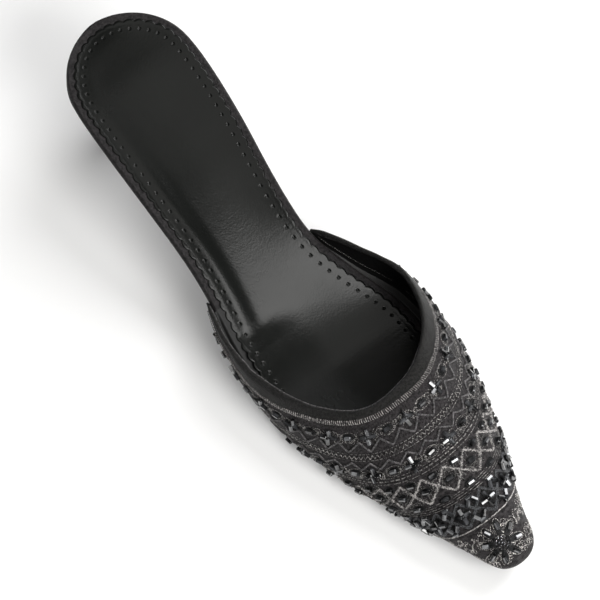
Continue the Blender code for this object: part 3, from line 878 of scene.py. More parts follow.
def bead_glass(name, colour, high, metallic=0.4):
    """Black glass with a dark metal lustre, each bead a little different."""
    material, tree, shader = new_material(
        name, 0.14, Metallic=metallic, Coat_Weight=1.0, Coat_Roughness=0.06, Specular_IOR_Level=1.0
    )
    vector = vector_from(tree, "OBJECT")
    patches = noise_node(tree, vector, 260.0, 1.0, 0.5)
    tinted(tree, shader, stretched(tree, patches, 0.4, 3.5), colour, 0.5, high)
    return material


def leather(name, colour, roughness, scale, relief, level=0.25):
    material, tree, shader = new_material(name, roughness, Specular_IOR_Level=level)
    grain = place_group(tree, leather_grain, vector_from(tree, "OBJECT"), Scale=scale)
    tinted(tree, shader, grain.outputs["Tone"], colour, 0.6, 1.5)
    bump(tree, shader, grain.outputs["Height"], relief)
    return material


@functools.cache
def finish_of(name):
    """The material of this name, made when it is first asked for."""
    scene = bpy.context.scene
    fabric, stitch, glass = scene.mule_cloth, scene.mule_threads, scene.mule_beads.glass
    # Each finish has its maker, the colour and the maker's further values in their order.
    finishes = {
        "satin": (cloth, fabric.satin, 0.48),
        "satin cover": (cloth, fabric.satin, 0.45, "OBJECT", 0.35 * MM, 0.08 * MM, 0.3, 1.1),
        "ribbon": (cloth, fabric.ribbon, 0.42, "UV", 0.32 * MM, 0.12 * MM, 0.4, 1.9),
        "piping": (thread, scaled(stitch.cord, 0.8)),
        "pale thread": (thread, stitch.pale, 0.4, 0.15),
        "bright cord": (thread, scaled(stitch.pale, 1.3), 0.4, 0.1),
        "diamond thread": (thread, scaled(stitch.pale, 0.85), 0.5, 0.05),
        "zigzag cord": (thread, stitch.cord, 0.55),
        "metal thread": (thread, scaled(stitch.metal, 0.85), 0.3, 0.6),
        "silver thread": (thread, scaled(stitch.metal, 1.5), 0.3, 0.6),
        "dim thread": (thread, scaled(stitch.metal, 0.36), 0.35, 0.4),
        "lattice cord": (thread, stitch.lattice, 0.4, 0.1),
        "petal cord": (thread, glass, 0.4, 0.0, 0.0, 0.22),
        "bead glass": (bead_glass, glass, 18.0),
        "lustre bead": (bead_glass, glass, 75.0, 0.9),
        "lining": (leather, fabric.lining, 0.5, 1800.0, 0.05 * MM),
        "sock leather": (leather, scene.mule_sock.leather, 0.2, 1500.0, 0.03 * MM, 0.16),
        "sole leather": (leather, scene.mule_sole.sole, 0.5, 900.0, 0.08 * MM),
        "top piece rubber": (leather, scene.mule_sole.rubber, 0.7, 2200.0, 0.04 * MM),
    }
    make, *values = finishes[name]
    return make(name, *values)


# ---- vamp and ribbon


def middle_depth(design):
    return (design["peak"] + design["valley"]) / 2


def quilting(depth):
    """How far the satin sinks along the stitched rows and puffs up between them."""
    sunk = (RUNNING_STITCH, STRAIGHT_THREADS[2], RAISED_CORD, middle_depth(FINE_ZIGZAG))
    return -sum(ridge(depth, QUILT_DEPTH, row, QUILT_WIDTH) for row in sunk)


def ladder_depth(angle):
    inner = LADDER_DRIFT * smooth_step((angle + 0.3) / 1.3)
    return LADDER_DEPTH + inner + LADDER_OUTER_DRIFT * smooth_step((-angle - 1.1) / 0.5)


def ribbon_width(angle):
    return np.minimum(ladder_depth(angle) - 0.5 * LADDER_HEIGHT, 0.7 * VAMP.length(angle))


def tucked_in(angle):
    """How far the wings' ends draw in against the board."""
    return 1.1 * MM * (1 - VAMP.taper(angle))


def topline_depth(angle):
    """Where the ribbon's edge runs: a little low in front and high on the outer side."""
    return ridge(angle, *TOPLINE_DIP) - ridge(angle, *TOPLINE_CREST)


def pattern_run(angle, depth):
    """Length along the row at this depth, which lays out the weave."""
    return np.interp(angle, VAMP.angles, VAMP.run(depth))


def vamp_place(across, down):
    """Points of the vamp from the ribbon's lower edge to the feather line."""
    angle = VAMP.angle(across)
    length, end = VAMP.length(angle), VAMP.end(angle)
    first = np.minimum(ribbon_width(angle) - RIBBON_OVERLAP, 0.5 * length)
    depth = np.where(
        down < FACE_SHARE,
        first + (length - first) * down / FACE_SHARE,
        length + (end - length) * (down - FACE_SHARE) / (1 - FACE_SHARE),
    )
    ease = np.clip((length - depth) / (2 * MM), 0, 1)
    points = VAMP.at(angle, depth, quilting(depth) * ease - 0.05 * MM - tucked_in(angle))
    return points, np.stack([pattern_run(angle, PATTERN_DEPTH), depth], axis=1)


class MULE_OT_vamp(bpy.types.Operator):
    """Satin vamp with its lining, lasted over the toe"""

    bl_idname = "mule.vamp"
    bl_label = "Satin vamp"

    def execute(self, context):
        mesh = bent_grid(*VAMP_GRID, vamp_place)
        bmesh.ops.reverse_faces(mesh, faces=mesh.faces)
        piece = new_piece("satin_vamp", mesh, ["satin", "lining"], ["upper"])
        across = np.array([loop.uv[0] for loop in piece.data.uv_layers["weave"].data])
        corners = np.array([loop.vertex_index for loop in piece.data.loops])
        weights = np.zeros(len(piece.data.vertices))
        weights[corners] = VAMP.taper(np.interp(across, VAMP.run(PATTERN_DEPTH), VAMP.angles))
        group = piece.vertex_groups.new(name="taper")
        for index, weight in enumerate(weights):
            group.add([index], float(weight), "REPLACE")
        wall = thicken(piece, context.scene.mule_cloth.wall)
        wall.material_offset = 1
        wall.vertex_group = "taper"
        wall.thickness_vertex_group = 0.3
        return {"FINISHED"}


def ribbon_half(angle):
    """Half the thickness of the topline with the ribbon round it."""
    wall = bpy.context.scene.mule_cloth.wall * (0.35 + 0.65 * VAMP.taper(angle))
    return (wall + RIBBON_LIFT + 0.15 * MM) / 2


def ribbon_section(angle, round_it):
    """Points round the ribbon: round_it is 0 on the rolled edge, positive outside and negative inside."""
    half = ribbon_half(angle)
    quarter = half * math.pi / 2
    edge = topline_depth(angle)
    beyond = np.maximum(np.abs(round_it) - quarter, 0)
    turn = np.clip(round_it / quarter, -1, 1) * math.pi / 2
    _, down, normal = VAMP.axes(angle, np.maximum(edge, 0) + 0.8 * MM)
    middle = VAMP.at(angle, edge + beyond, RIBBON_LIFT - tucked_in(angle) - half)
    return middle + normal * (half * np.sin(turn))[..., None] - down * (0.6 * half * np.cos(turn))[..., None]


def ribbon_place(across, round_share):
    """Points round the ribbon's section, from its outer edge over the topline to its inner edge."""
    angle = VAMP.angle(across)
    quarter = ribbon_half(angle) * math.pi / 2
    outside = ribbon_width(angle) - topline_depth(angle) + quarter
    inside = np.minimum(RIBBON_INSIDE, 0.6 * VAMP.length(angle)) + quarter
    share = (1 - 2 * round_share) ** 3 * 0.5 + (1 - 2 * round_share) * 0.5
    round_it = np.where(share > 0, share * outside, share * inside)
    _, _, normal = VAMP.axes(angle, RIBBON_PATTERN_DEPTH)
    run = pattern_run(angle, RIBBON_PATTERN_DEPTH)
    wave = sum(np.sin(run / length + phase) for length, phase in PUCKERS)
    pucker = PUCKER_DEPTH * wave * np.sin(math.pi * np.clip(share, 0, 1)) * VAMP.taper(angle)
    return ribbon_section(angle, round_it) + normal * pucker[:, None], np.stack([run, round_it], axis=1)


def inner_seam(angle):
    """The ribbon's inner seam, on the rolled edge outside the foot and down the lining inside it."""
    return -(0.3 * MM + (RIBBON_INSIDE + 0.6 * MM) * smooth_step((angle - 0.3) / 1.3))


def lining_margin_place(across, down):
    """Lining from the foot of the wall inwards over the board, under the sock's edge. Its dark colour also
    stands in for the shade inside the vamp.
    """
    angle = LINING_MARGIN[0] + (LINING_MARGIN[1] - LINING_MARGIN[0]) * across
    wall = bpy.context.scene.mule_cloth.wall
    points = []
    for turn, share in zip(angle, down):
        foot = VAMP.at(turn, VAMP.length(turn) - LINING_FOOT, -wall)
        x, y, _ = foot - VAMP.line(turn)[1] * LINING_REACH * share
        top = height_at(VAMP.board, x, y)
        level = foot[2] if top is None else max(top, foot[2] - LINING_FOOT)
        points.append((x, y, level + 0.15 * MM + 2.2 * MM * max(1 - share / 0.25, 0.0) ** 2))
    points = np.array(points)
    return points, points[:, :2]


class MULE_OT_ribbon(bpy.types.Operator):
    """Ribbon folded over the topline, its piped seam, its ladder of stitches and the lining inside"""

    bl_idname = "mule.ribbon"
    bl_label = "Topline ribbon"

    def execute(self, context):
        fabric = context.scene.mule_cloth
        mesh = bent_grid(*RIBBON_GRID, ribbon_place)
        new_piece("topline_ribbon", mesh, ["ribbon"], ["topline_binding"])
        angles = np.linspace(VAMP.angles[2], VAMP.angles[-3], 500)
        seam = ribbon_section(angles, inner_seam(angles))
        sew("topline_piping", twisted([seam], 0.12 * MM, 0.9 * MM), fabric.piping, "piping")

        row = Row(LADDER_DEPTH)
        random = np.random.default_rng(2)
        strokes = []
        for place in np.arange(row.low, row.high, context.scene.mule_threads.ladder_pitch):
            slant = random.uniform(0.05, 0.45) * MM
            along = place + slant * np.array([-1.0, -0.6, 0.6, 1.0])
            middle = ladder_depth(row.angle(place))
            depth = middle + LADDER_HEIGHT * np.array([-0.5, -0.38, 0.38, 0.5]) * random.uniform(0.85, 1.15)
            strokes.append(row.point(along, depth, np.array([0.2, 0.5, 0.5, -0.1]) * MM))
        sew("ladder_stitches", strokes, 0.135 * MM, "pale thread")

        # Dark lining over the board's margin inside the vamp, partly painted shade for that recess.
        mesh = bent_grid(*LINING_GRID, lining_margin_place)
        bmesh.ops.recalc_face_normals(mesh, faces=mesh.faces)
        new_piece("lining_margin_shade", mesh, ["lining"])
        angles = np.linspace(*LINING_SEAM, 200)
        line = VAMP.at(angles, VAMP.length(angles) - 3.4 * MM, -fabric.wall - 0.12 * MM)
        sew("lining_stitches", dashes([line], 0.6 * MM, 0.5 * MM), 0.12 * MM, "dim thread")
        return {"FINISHED"}


# ---- embroidered rows


def twisted(paths, radius, turn_length):
    """Two plies twisted round each path."""
    plies = []
    for path in paths:
        run = run_lengths(path)
        at = np.linspace(0, run[-1], max(8, int(run[-1] / (turn_length / 6))))
        middle = sampled(path, run, at)
        course = unit(np.gradient(middle, axis=0))
        side = unit(np.cross(course, UP))
        rise = np.cross(side, course)
        for start in (0.0, math.pi):
            turn = (2 * math.pi * at / turn_length + start)[:, None]
            plies.append(middle + radius * 0.85 * (side * np.cos(turn) + rise * np.sin(turn)))
    return plies


def middle_row(design):
    return Row(middle_depth(design))


def zigzag_paths(row, design, lift=0.25 * MM, way=1, offset=0.0):
    """A design's zigzag along the row. A way of -1 turns its peaks into valleys."""
    along = np.arange(row.low - 4 * MM, row.high + 4 * MM, 0.45 * MM)
    wave = way * rounded_zigzag(along, design["pitch"], design["shift"])
    depth = middle_depth(design) + offset + (design["valley"] - design["peak"]) / 2 * wave
    return row.path(along, depth, lift)


def crossed_zigzags(row, design, lift, offsets=(0.0,)):
    """Zigzags laid over each other into a row of diamonds, each cord once for every offset."""
    strands = itertools.product((1, -1), offsets)
    return [path for way, offset in strands for path in zigzag_paths(row, design, lift, way, offset)]


class MULE_OT_zigzags(bpy.types.Operator):
    """Two twisted zigzag cords with a fine machine zigzag between them, and the running stitches"""

    bl_idname = "mule.zigzags"
    bl_label = "Zigzag rows"

    def execute(self, context):
        radius = context.scene.mule_threads.cord_radius
        for name, design in (("zigzag_cord_upper", ZIGZAG_UPPER), ("zigzag_cord_lower", ZIGZAG_LOWER)):
            paths = zigzag_paths(middle_row(design), design)
            sew(name, twisted(paths, radius, 1.5 * MM), radius, "zigzag cord")

        peak, valley, pitch = (FINE_ZIGZAG[key] for key in ("peak", "valley", "pitch"))
        row = middle_row(FINE_ZIGZAG)
        along = np.arange(row.low, row.high, pitch / 8)
        random = np.random.default_rng(13)
        swing = random.uniform(0.25, 0.5, len(along)) * (valley - peak)
        fine = row.path(along, row.depth + swing * zigzag(along, pitch), 0.12 * MM)
        along = np.linspace(row.low, row.high, 500)
        borders = []
        for edge in (peak - 0.4 * MM, valley + 0.4 * MM):
            borders += dashes(row.path(along, edge, 0.02 * MM), *BORDER_STITCH)
        mesh = joined([threads(fine, 0.12 * MM), threads(borders, 0.11 * MM)])
        new_piece("fine_zigzag", mesh, ["metal thread"])

        row = Row(RUNNING_STITCH)
        along = np.linspace(row.low, row.high, 600)
        bold = dashes(row.path(along, RUNNING_STITCH, 0.2 * MM), *RUNNING_STITCH_BOLD)
        thin = []
        for offset, dash in SIDE_STITCHES:
            paths = row.path(along, RUNNING_STITCH + offset, 0.05 * MM)
            thin += dashes(paths, dash, SIDE_GAP, offset % (2 * MM))
        mesh = joined([threads(bold, 0.22 * MM), threads(thin, 0.11 * MM)])
        new_piece("running_stitches", mesh, ["metal thread"])
        return {"FINISHED"}


def scribble(row, top, bottom, loop, advance, seeds):
    """Chain stitches that wander in small loops through a band of the vamp, one line for each seed."""
    turns = (row.high - row.low) / advance
    phase = np.linspace(0, 2 * math.pi * turns, int(turns * 26))
    half = (bottom - top) / 2 - loop
    along = row.low + (row.high - row.low) * phase / phase[-1] + loop * np.cos(phase)
    stitches = []
    for seed in seeds:
        random = np.random.default_rng(seed)
        knots = random.uniform(-1, 1, int(turns) + 4)
        wander = np.interp(phase, np.linspace(0, phase[-1], len(knots)), knots)
        depth = (top + bottom) / 2 + half * wander + loop * np.sin(phase)
        stitches += dashes(row.path(along, depth, 0.06 * MM), *SCRIBBLE_STITCH)
    return stitches


def bugle_bead(length, radius):
    """A glass tube lying along X, its rims softened and its bore sunk at both ends."""
    mesh = bmesh.new()
    bmesh.ops.create_cone(
        mesh, cap_ends=True, segments=BUGLE_SIDES, radius1=radius, radius2=radius, depth=length
    )
    rims = [edge for edge in mesh.edges if abs(edge.verts[0].co.z - edge.verts[1].co.z) < MERGE]
    bmesh.ops.bevel(mesh, geom=rims, offset=radius * 0.12, affect="EDGES", segments=1, profile=0.5)
    ends = [face for face in mesh.faces if len(face.verts) == BUGLE_SIDES and abs(face.normal.z) > 0.9]
    bmesh.ops.inset_individual(mesh, faces=ends, thickness=radius * 0.35, depth=0.0)
    bmesh.ops.inset_individual(mesh, faces=ends, thickness=radius * 0.02, depth=-length * 0.2)
    for vertex in mesh.verts:
        vertex.co = Vector((vertex.co.z, vertex.co.y, -vertex.co.x))
    return mesh


def seed_bead(radius):
    """A small round bead with its bore along X."""
    mesh = bmesh.new()
    bmesh.ops.create_circle(mesh, segments=6, radius=radius * 0.42)
    for vertex in mesh.verts:
        vertex.co = Vector((vertex.co.x * 1.15, vertex.co.y + radius * 0.58, 0.0))
    ring = list(mesh.verts) + list(mesh.edges)
    bmesh.ops.spin(mesh, geom=ring, axis=(1, 0, 0), angle=2 * math.pi, steps=9, use_merge=True)
    bmesh.ops.recalc_face_normals(mesh, faces=mesh.faces)
    for face in mesh.faces:
        face.smooth = True
    return mesh


class BeadTray:
    """Beads waiting to be sewn on, where each lies and which way it points, and the black leaves of painted
    shade under them.
    """

    def __init__(self, seed):
        self.bugles, self.seeds, self.shade_leaves = [], [], []
        self.random = np.random.default_rng(seed)
        self.sizes = bpy.context.scene.mule_beads

    def lay(self, kind, row, along, depth, turn, lift, scale=1.0):
        """Lays a bead with its bore turned from the row's direction towards the toe."""
        if not row.on_face(along, depth + 0.4 * MM):
            return
        angle = row.angle(along)
        side, down, normal = VAMP.axes(angle, depth)
        turn += self.random.uniform(-0.09, 0.09)
        bore = side * math.cos(turn) + down * math.sin(turn)
        across = np.cross(normal, bore)
        roll = math.pi / 6 + self.random.normal(0, 0.42)
        first = across * math.cos(roll) + normal * math.sin(roll)
        stretch = self.random.uniform(0.92, 1.06)
        place = VAMP.at(angle, depth, lift)
        kind.append((place, bore * scale * stretch, first * scale, np.cross(bore, first) * scale))

    def bugle(self, row, along, depth, turn=0.0):
        self.lay(self.bugles, row, along, depth, turn, self.sizes.bugle_radius * 0.95)

    def seed(self, row, along, depth, turn=math.pi / 2, scale=1.0):
        self.lay(self.seeds, row, along, depth, turn, self.sizes.seed_radius * 0.85 * scale, scale)

    def cross(self, row, along, depth):
        """Four bugles round a seed."""
        out = self.sizes.seed_radius * 0.75 + self.sizes.bugle_length / 2
        self.seed(row, along, depth)
        for quarter in range(4):
            arm = quarter * math.pi / 2
            self.bugle(row, along + out * math.cos(arm), depth + out * math.sin(arm), arm)

    def shade_leaf(self, row, along, depth, half_along=SHADE_LEAF[0], half_depth=SHADE_LEAF[1]):
        """Loops of black thread in a small leaf's shape under a bead, painted shade for the bead's shaded
        side and its shadow.
        """
        self.shade_leaves += oval(row, along, depth, half_along, half_depth)
        self.shade_leaves += oval(row, along, depth, half_along * 0.6, half_depth * 0.4)

    def bugle_on_shade_leaf(self, row, along, depth, turn=0.0):
        """A bugle on its leaf of black thread, which is painted shade."""
        self.bugle(row, along, depth, turn)
        self.shade_leaf(row, along, depth)

    def sewn(self, name, finish="bead glass"):
        """The beads as one piece."""
        parts = []
        for kind, make, size in (
            (self.bugles, bugle_bead, (self.sizes.bugle_length, self.sizes.bugle_radius)),
            (self.seeds, seed_bead, (self.sizes.seed_radius,)),
        ):
            if kind:
                parts.append(copies(make(*size), [np.array(column) for column in zip(*kind)]))
        return new_piece(name, joined(parts), [finish], smooth=False)


def oval(row, along, depth, half_along, half_depth):
    turn = np.linspace(0, 2 * math.pi, 26)
    return row.path(along + half_along * np.cos(turn), depth + half_depth * np.sin(turn), 0.1 * MM)


def repeats(row, pitch, shift, extra=0):
    """Where a design that repeats at pitch lies along the row, with extra places beyond its ends."""
    first = math.floor(row.low / pitch) - extra
    last = math.ceil(row.high / pitch) + extra
    return [step * pitch + shift for step in range(first, last + 1)]


class MULE_OT_flower_rows(bpy.types.Operator):
    """Two rows of beaded crosses with a single bugle between, in scrolls of metal thread"""

    bl_idname = "mule.flower_rows"
    bl_label = "Flower rows"

    def execute(self, context):
        fine = context.scene.mule_threads.thread_radius
        reach = np.linspace(0, 1, 8)
        for name, design in (("upper", FLOWERS_UPPER), ("lower", FLOWERS_LOWER)):
            depth, pitch = design["depth"], design["pitch"]
            row = Row(depth)
            tray, scrolls = BeadTray(design["seed"]), []
            for along in repeats(row, pitch, design["shift"]):
                tray.cross(row, along, depth)
                between = along + pitch / 2
                # Each bead lies on a leaf of black thread, painted shade for its shaded side and the shadow
                # it casts.
                tray.bugle_on_shade_leaf(row, between, depth - BUGLE_RISE)
                tray.shade_leaf(row, along, depth, *CROSS_SHADE_LEAF)
                scrolls += oval(row, between, depth - BUGLE_RISE, *FLOWER_OVAL)
                for side, end in itertools.product((-1, 1), repeat=2):
                    out = along + side * FLOWER_SCROLL[0] * reach
                    scrolls += row.path(out, depth + end * FLOWER_SCROLL[1] * reach**1.5, 0.1 * MM)
            stitches = dashes(scrolls, *SCROLL_STITCH)
            top, bottom = depth - FLOWER_BAND, depth + FLOWER_BAND
            for loop, advance, step in FLOWER_SCRIBBLES:
                stitches += scribble(row, top, bottom, loop, advance, [design["seed"] + step])
            tray.sewn(f"flower_beads_{name}")
            sew(f"flower_shade_leaves_{name}", tray.shade_leaves, SHADE_LEAF_THREAD, "petal cord")
            sew(f"flower_scrolls_{name}", stitches, fine, "metal thread", 0)
        return {"FINISHED"}


def fuzzy_cord(paths, radius, seed):
    """A core wrapped in short crosswise stitches, which give it a ragged edge."""
    random = np.random.default_rng(seed)
    stitches = []
    for path in paths:
        run = run_lengths(path)
        for start in np.arange(0.2 * MM, run[-1] - 0.4 * MM, 0.42 * MM):
            here, there = sampled(path, run, start + np.array([0.0, 0.3 * MM]))
            course = unit(there - here)
            side = unit(np.cross(course, UP))
            reach = radius * random.uniform(0.9, 1.6)
            lean = course * random.uniform(-0.3, 0.3) * MM
            bulge = np.cross(side, course) * radius * 0.6
            stitches.append(np.array([here - side * reach - lean, here + bulge, here + side * reach + lean]))
    return joined([threads(paths, radius * 0.62), threads(stitches, 0.13 * MM, 0)])


class MULE_OT_diamonds(bpy.types.Operator):
    """Band of pale diamonds, a bugle in each and between them, over scribbled chain stitches"""

    bl_idname = "mule.diamonds"
    bl_label = "Diamond band"

    def execute(self, context):
        row = middle_row(DIAMONDS)
        mesh = fuzzy_cord(crossed_zigzags(row, DIAMONDS, 0.3 * MM), 0.43 * MM, 11)
        new_piece("diamond_threads", mesh, ["diamond thread"])

        tray = BeadTray(23)
        pitch = DIAMONDS["pitch"]
        for along in repeats(row, pitch / 2, DIAMONDS["shift"], 1):
            # Each bugle lies on a leaf of black thread, painted shade for its shaded side and the shadow it
            # casts.
            tray.bugle_on_shade_leaf(row, along, row.depth, 0.1)
            for depth in DIAMOND_BUGLES:
                tray.bugle_on_shade_leaf(row, along + pitch / 4, depth)
        tray.sewn("diamond_beads")
        sew("diamond_shade_leaves", tray.shade_leaves, SHADE_LEAF_THREAD, "petal cord")

        top, bottom = DIAMONDS["peak"] - 1.5 * MM, DIAMONDS["valley"] + 0.4 * MM
        stitches = scribble(row, top, bottom, 1.0 * MM, 1.5 * MM, (7, 8, 9))
        sew("chain_stitches", stitches, context.scene.mule_threads.thread_radius, "dim thread", 0)
        stitches = []
        for index, depth in enumerate(STRAIGHT_THREADS):
            line = Row(depth)
            paths = line.path(np.linspace(line.low, line.high, 400), depth, 0.08 * MM)
            stitches += dashes(paths, *STRAIGHT_STITCH, (1.0 + 0.3 * index) * MM)
        sew("straight_threads", stitches, 0.1 * MM, "metal thread", 0)
        return {"FINISHED"}


class MULE_OT_lattice(bpy.types.Operator):
    """Dark lattice packed with beaded crosses, and the raised cord that closes it"""

    bl_idname = "mule.lattice"
    bl_label = "Beaded lattice"

    def execute(self, context):
        row = middle_row(BEAD_LATTICE)
        paths = crossed_zigzags(row, BEAD_LATTICE, 0.2 * MM, LATTICE_STRANDS)
        sew("lattice_cords", twisted(paths, 0.17 * MM, 1.6 * MM), 0.17 * MM, "lattice cord")

        tray = BeadTray(29)
        pitch = BEAD_LATTICE["pitch"]
        out, down, lean = LATTICE_SLANTED
        for along in repeats(row, pitch / 2, BEAD_LATTICE["shift"], 1):
            tray.cross(row, along, row.depth)
            between = along + pitch / 4
            for end in (-1, 1):
                tray.bugle(row, between, row.depth + end * LATTICE_OUTER)
                for side in (-1, 1):
                    tray.bugle(row, between + side * out, row.depth + end * down, -side * end * lean)
        tray.sewn("lattice_beads")
        top, bottom = BEAD_LATTICE["peak"], BEAD_LATTICE["valley"]
        stitches = scribble(row, top, bottom, 0.9 * MM, 1.5 * MM, (41, 42, 43, 44))
        sew("lattice_stitches", stitches, 0.24 * MM, "petal cord", 0)

        line = Row(RAISED_CORD)
        paths = line.path(np.linspace(line.low, line.high, 200), RAISED_CORD, 0.35 * MM)
        sew("raised_cord", twisted(paths, 0.15 * MM, 1.1 * MM), 0.16 * MM, "bright cord")
        return {"FINISHED"}


class MULE_OT_toe_flower(bpy.types.Operator):
    """Beaded flower over the toe, with looped petals and scrolls"""

    bl_idname = "mule.toe_flower"
    bl_label = "Toe flower"

    def execute(self, context):
        centre, shift, petals = (TOE_FLOWER[key] for key in ("depth", "shift", "petals"))
        row = Row(centre)
        tray, heart, pale = BeadTray(31), BeadTray(37), []

        reach = np.linspace(0, math.pi, 22)

        def out_from(turn, span, width=0.0):
            along = shift + span * math.cos(turn) - width * math.sin(turn)
            return along, centre + span * math.sin(turn) + width * math.cos(turn)

        def half_loop(turn, hand, start, length, half_width):
            span = start + length * (1 - np.cos(reach)) / 2
            return row.path(*out_from(turn, span, half_width * np.sin(reach) * hand), 0.12 * MM)

        heart.seed(row, shift, centre, scale=0.75)
        for ring, count in TOE_RINGS:
            for step in range(count):
                turn = 2 * math.pi * step / count
                heart.seed(row, *out_from(turn, ring), turn, 0.72)
        black = oval(row, shift, centre, TOE_HEART, TOE_HEART)
        for petal in range(petals):
            turn = 2 * math.pi * (petal + 0.4) / petals
            tray.bugle(row, *out_from(turn, TOE_BEADS), turn)
            for hand in (-1, 1):
                pale += half_loop(turn, hand, *PALE_LOOP)
                for loop in BLACK_LOOPS:
                    black += half_loop(turn, hand, *loop)
            for side in PETAL_RAYS:
                between = turn + math.pi / petals + side * 0.55
                span = np.linspace(3.2, 6.4 - 4 * abs(side), 8) * MM
                pale += row.path(*out_from(between, span), 0.14 * MM)
        tray.sewn("toe_flower_beads")
        heart.sewn("toe_flower_heart", "lustre bead")
        sew("toe_petals", black, 0.4 * MM, "petal cord")
        top = Row(centre - 4 * MM)
        stitches = dashes(pale, *TOE_STITCH)
        for seed in (17, 18):
            stitches += scribble(top, RAISED_CORD + 1.5 * MM, centre, 0.9 * MM, 1.3 * MM, [seed])
            stitches += scribble(row, centre, EMBROIDERY_END, 0.9 * MM, 1.1 * MM, [seed + 5])
        sew("toe_scrolls", stitches, context.scene.mule_threads.thread_radius, "silver thread", 0)
        return {"FINISHED"}


# ---- footbed


class Footbed:
    """The board's plan outline, its middle line and the height of its top, read from the frame.

    The outline has a point for every point of the middle line on each side, and a fan at each end.
    """

    def __init__(self, spacing):
        self.tree = ray_tree("insole_board")
        self.low, self.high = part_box("insole_board")
        toe_y, heel_y = self.low.y + TOE_FAN, self.high.y - HEEL_FAN
        spine_y = np.linspace(toe_y, heel_y, int((heel_y - toe_y) / spacing))
        coarse_y = spine_y[::8]
        middles = evened(np.array([self.middle(y) for y in coarse_y]), 10)
        spine = np.stack([np.interp(spine_y, coarse_y, middles), spine_y], axis=1)
        count = len(spine)
        heel_turns = np.linspace(0, math.pi, int(math.pi * HEEL_FAN / spacing))[1:-1]
        toe_turns = np.linspace(math.pi, 2 * math.pi, int(2 * math.pi * TOE_FAN / 3 / spacing))[1:-1]
        heel = np.repeat(spine[-1:], len(heel_turns), axis=0)
        toe = np.repeat(spine[:1], len(toe_turns), axis=0)
        self.feet = np.concatenate([spine, heel, spine[::-1], toe])
        turns = np.concatenate([np.zeros(count), heel_turns, np.full(count, math.pi), toe_turns])
        ways = np.stack([np.cos(turns), np.sin(turns)], axis=1)
        reaches = np.array([self.reach(start, way) for start, way in zip(self.feet, ways)])
        self.edge = self.feet + ways * reaches[:, None]

    def top(self, x, y):
        return height_at(self.tree, x, y)

    def middle(self, y):
        xs = np.arange(self.low.x - MM, self.high.x + MM, 0.5 * MM)
        inside = [x for x in xs if self.top(x, y) is not None]
        return (inside[0] + inside[-1]) / 2

    def reach(self, start, way):
        """Distance from a point of the middle line to the board's edge, by halving."""
        near, far = 0.0, 0.08
        for _ in range(16):
            guess = (near + far) / 2
            if self.top(start[0] + way[0] * guess, start[1] + way[1] * guess) is None:
                far = guess
            else:
                near = guess
        return near


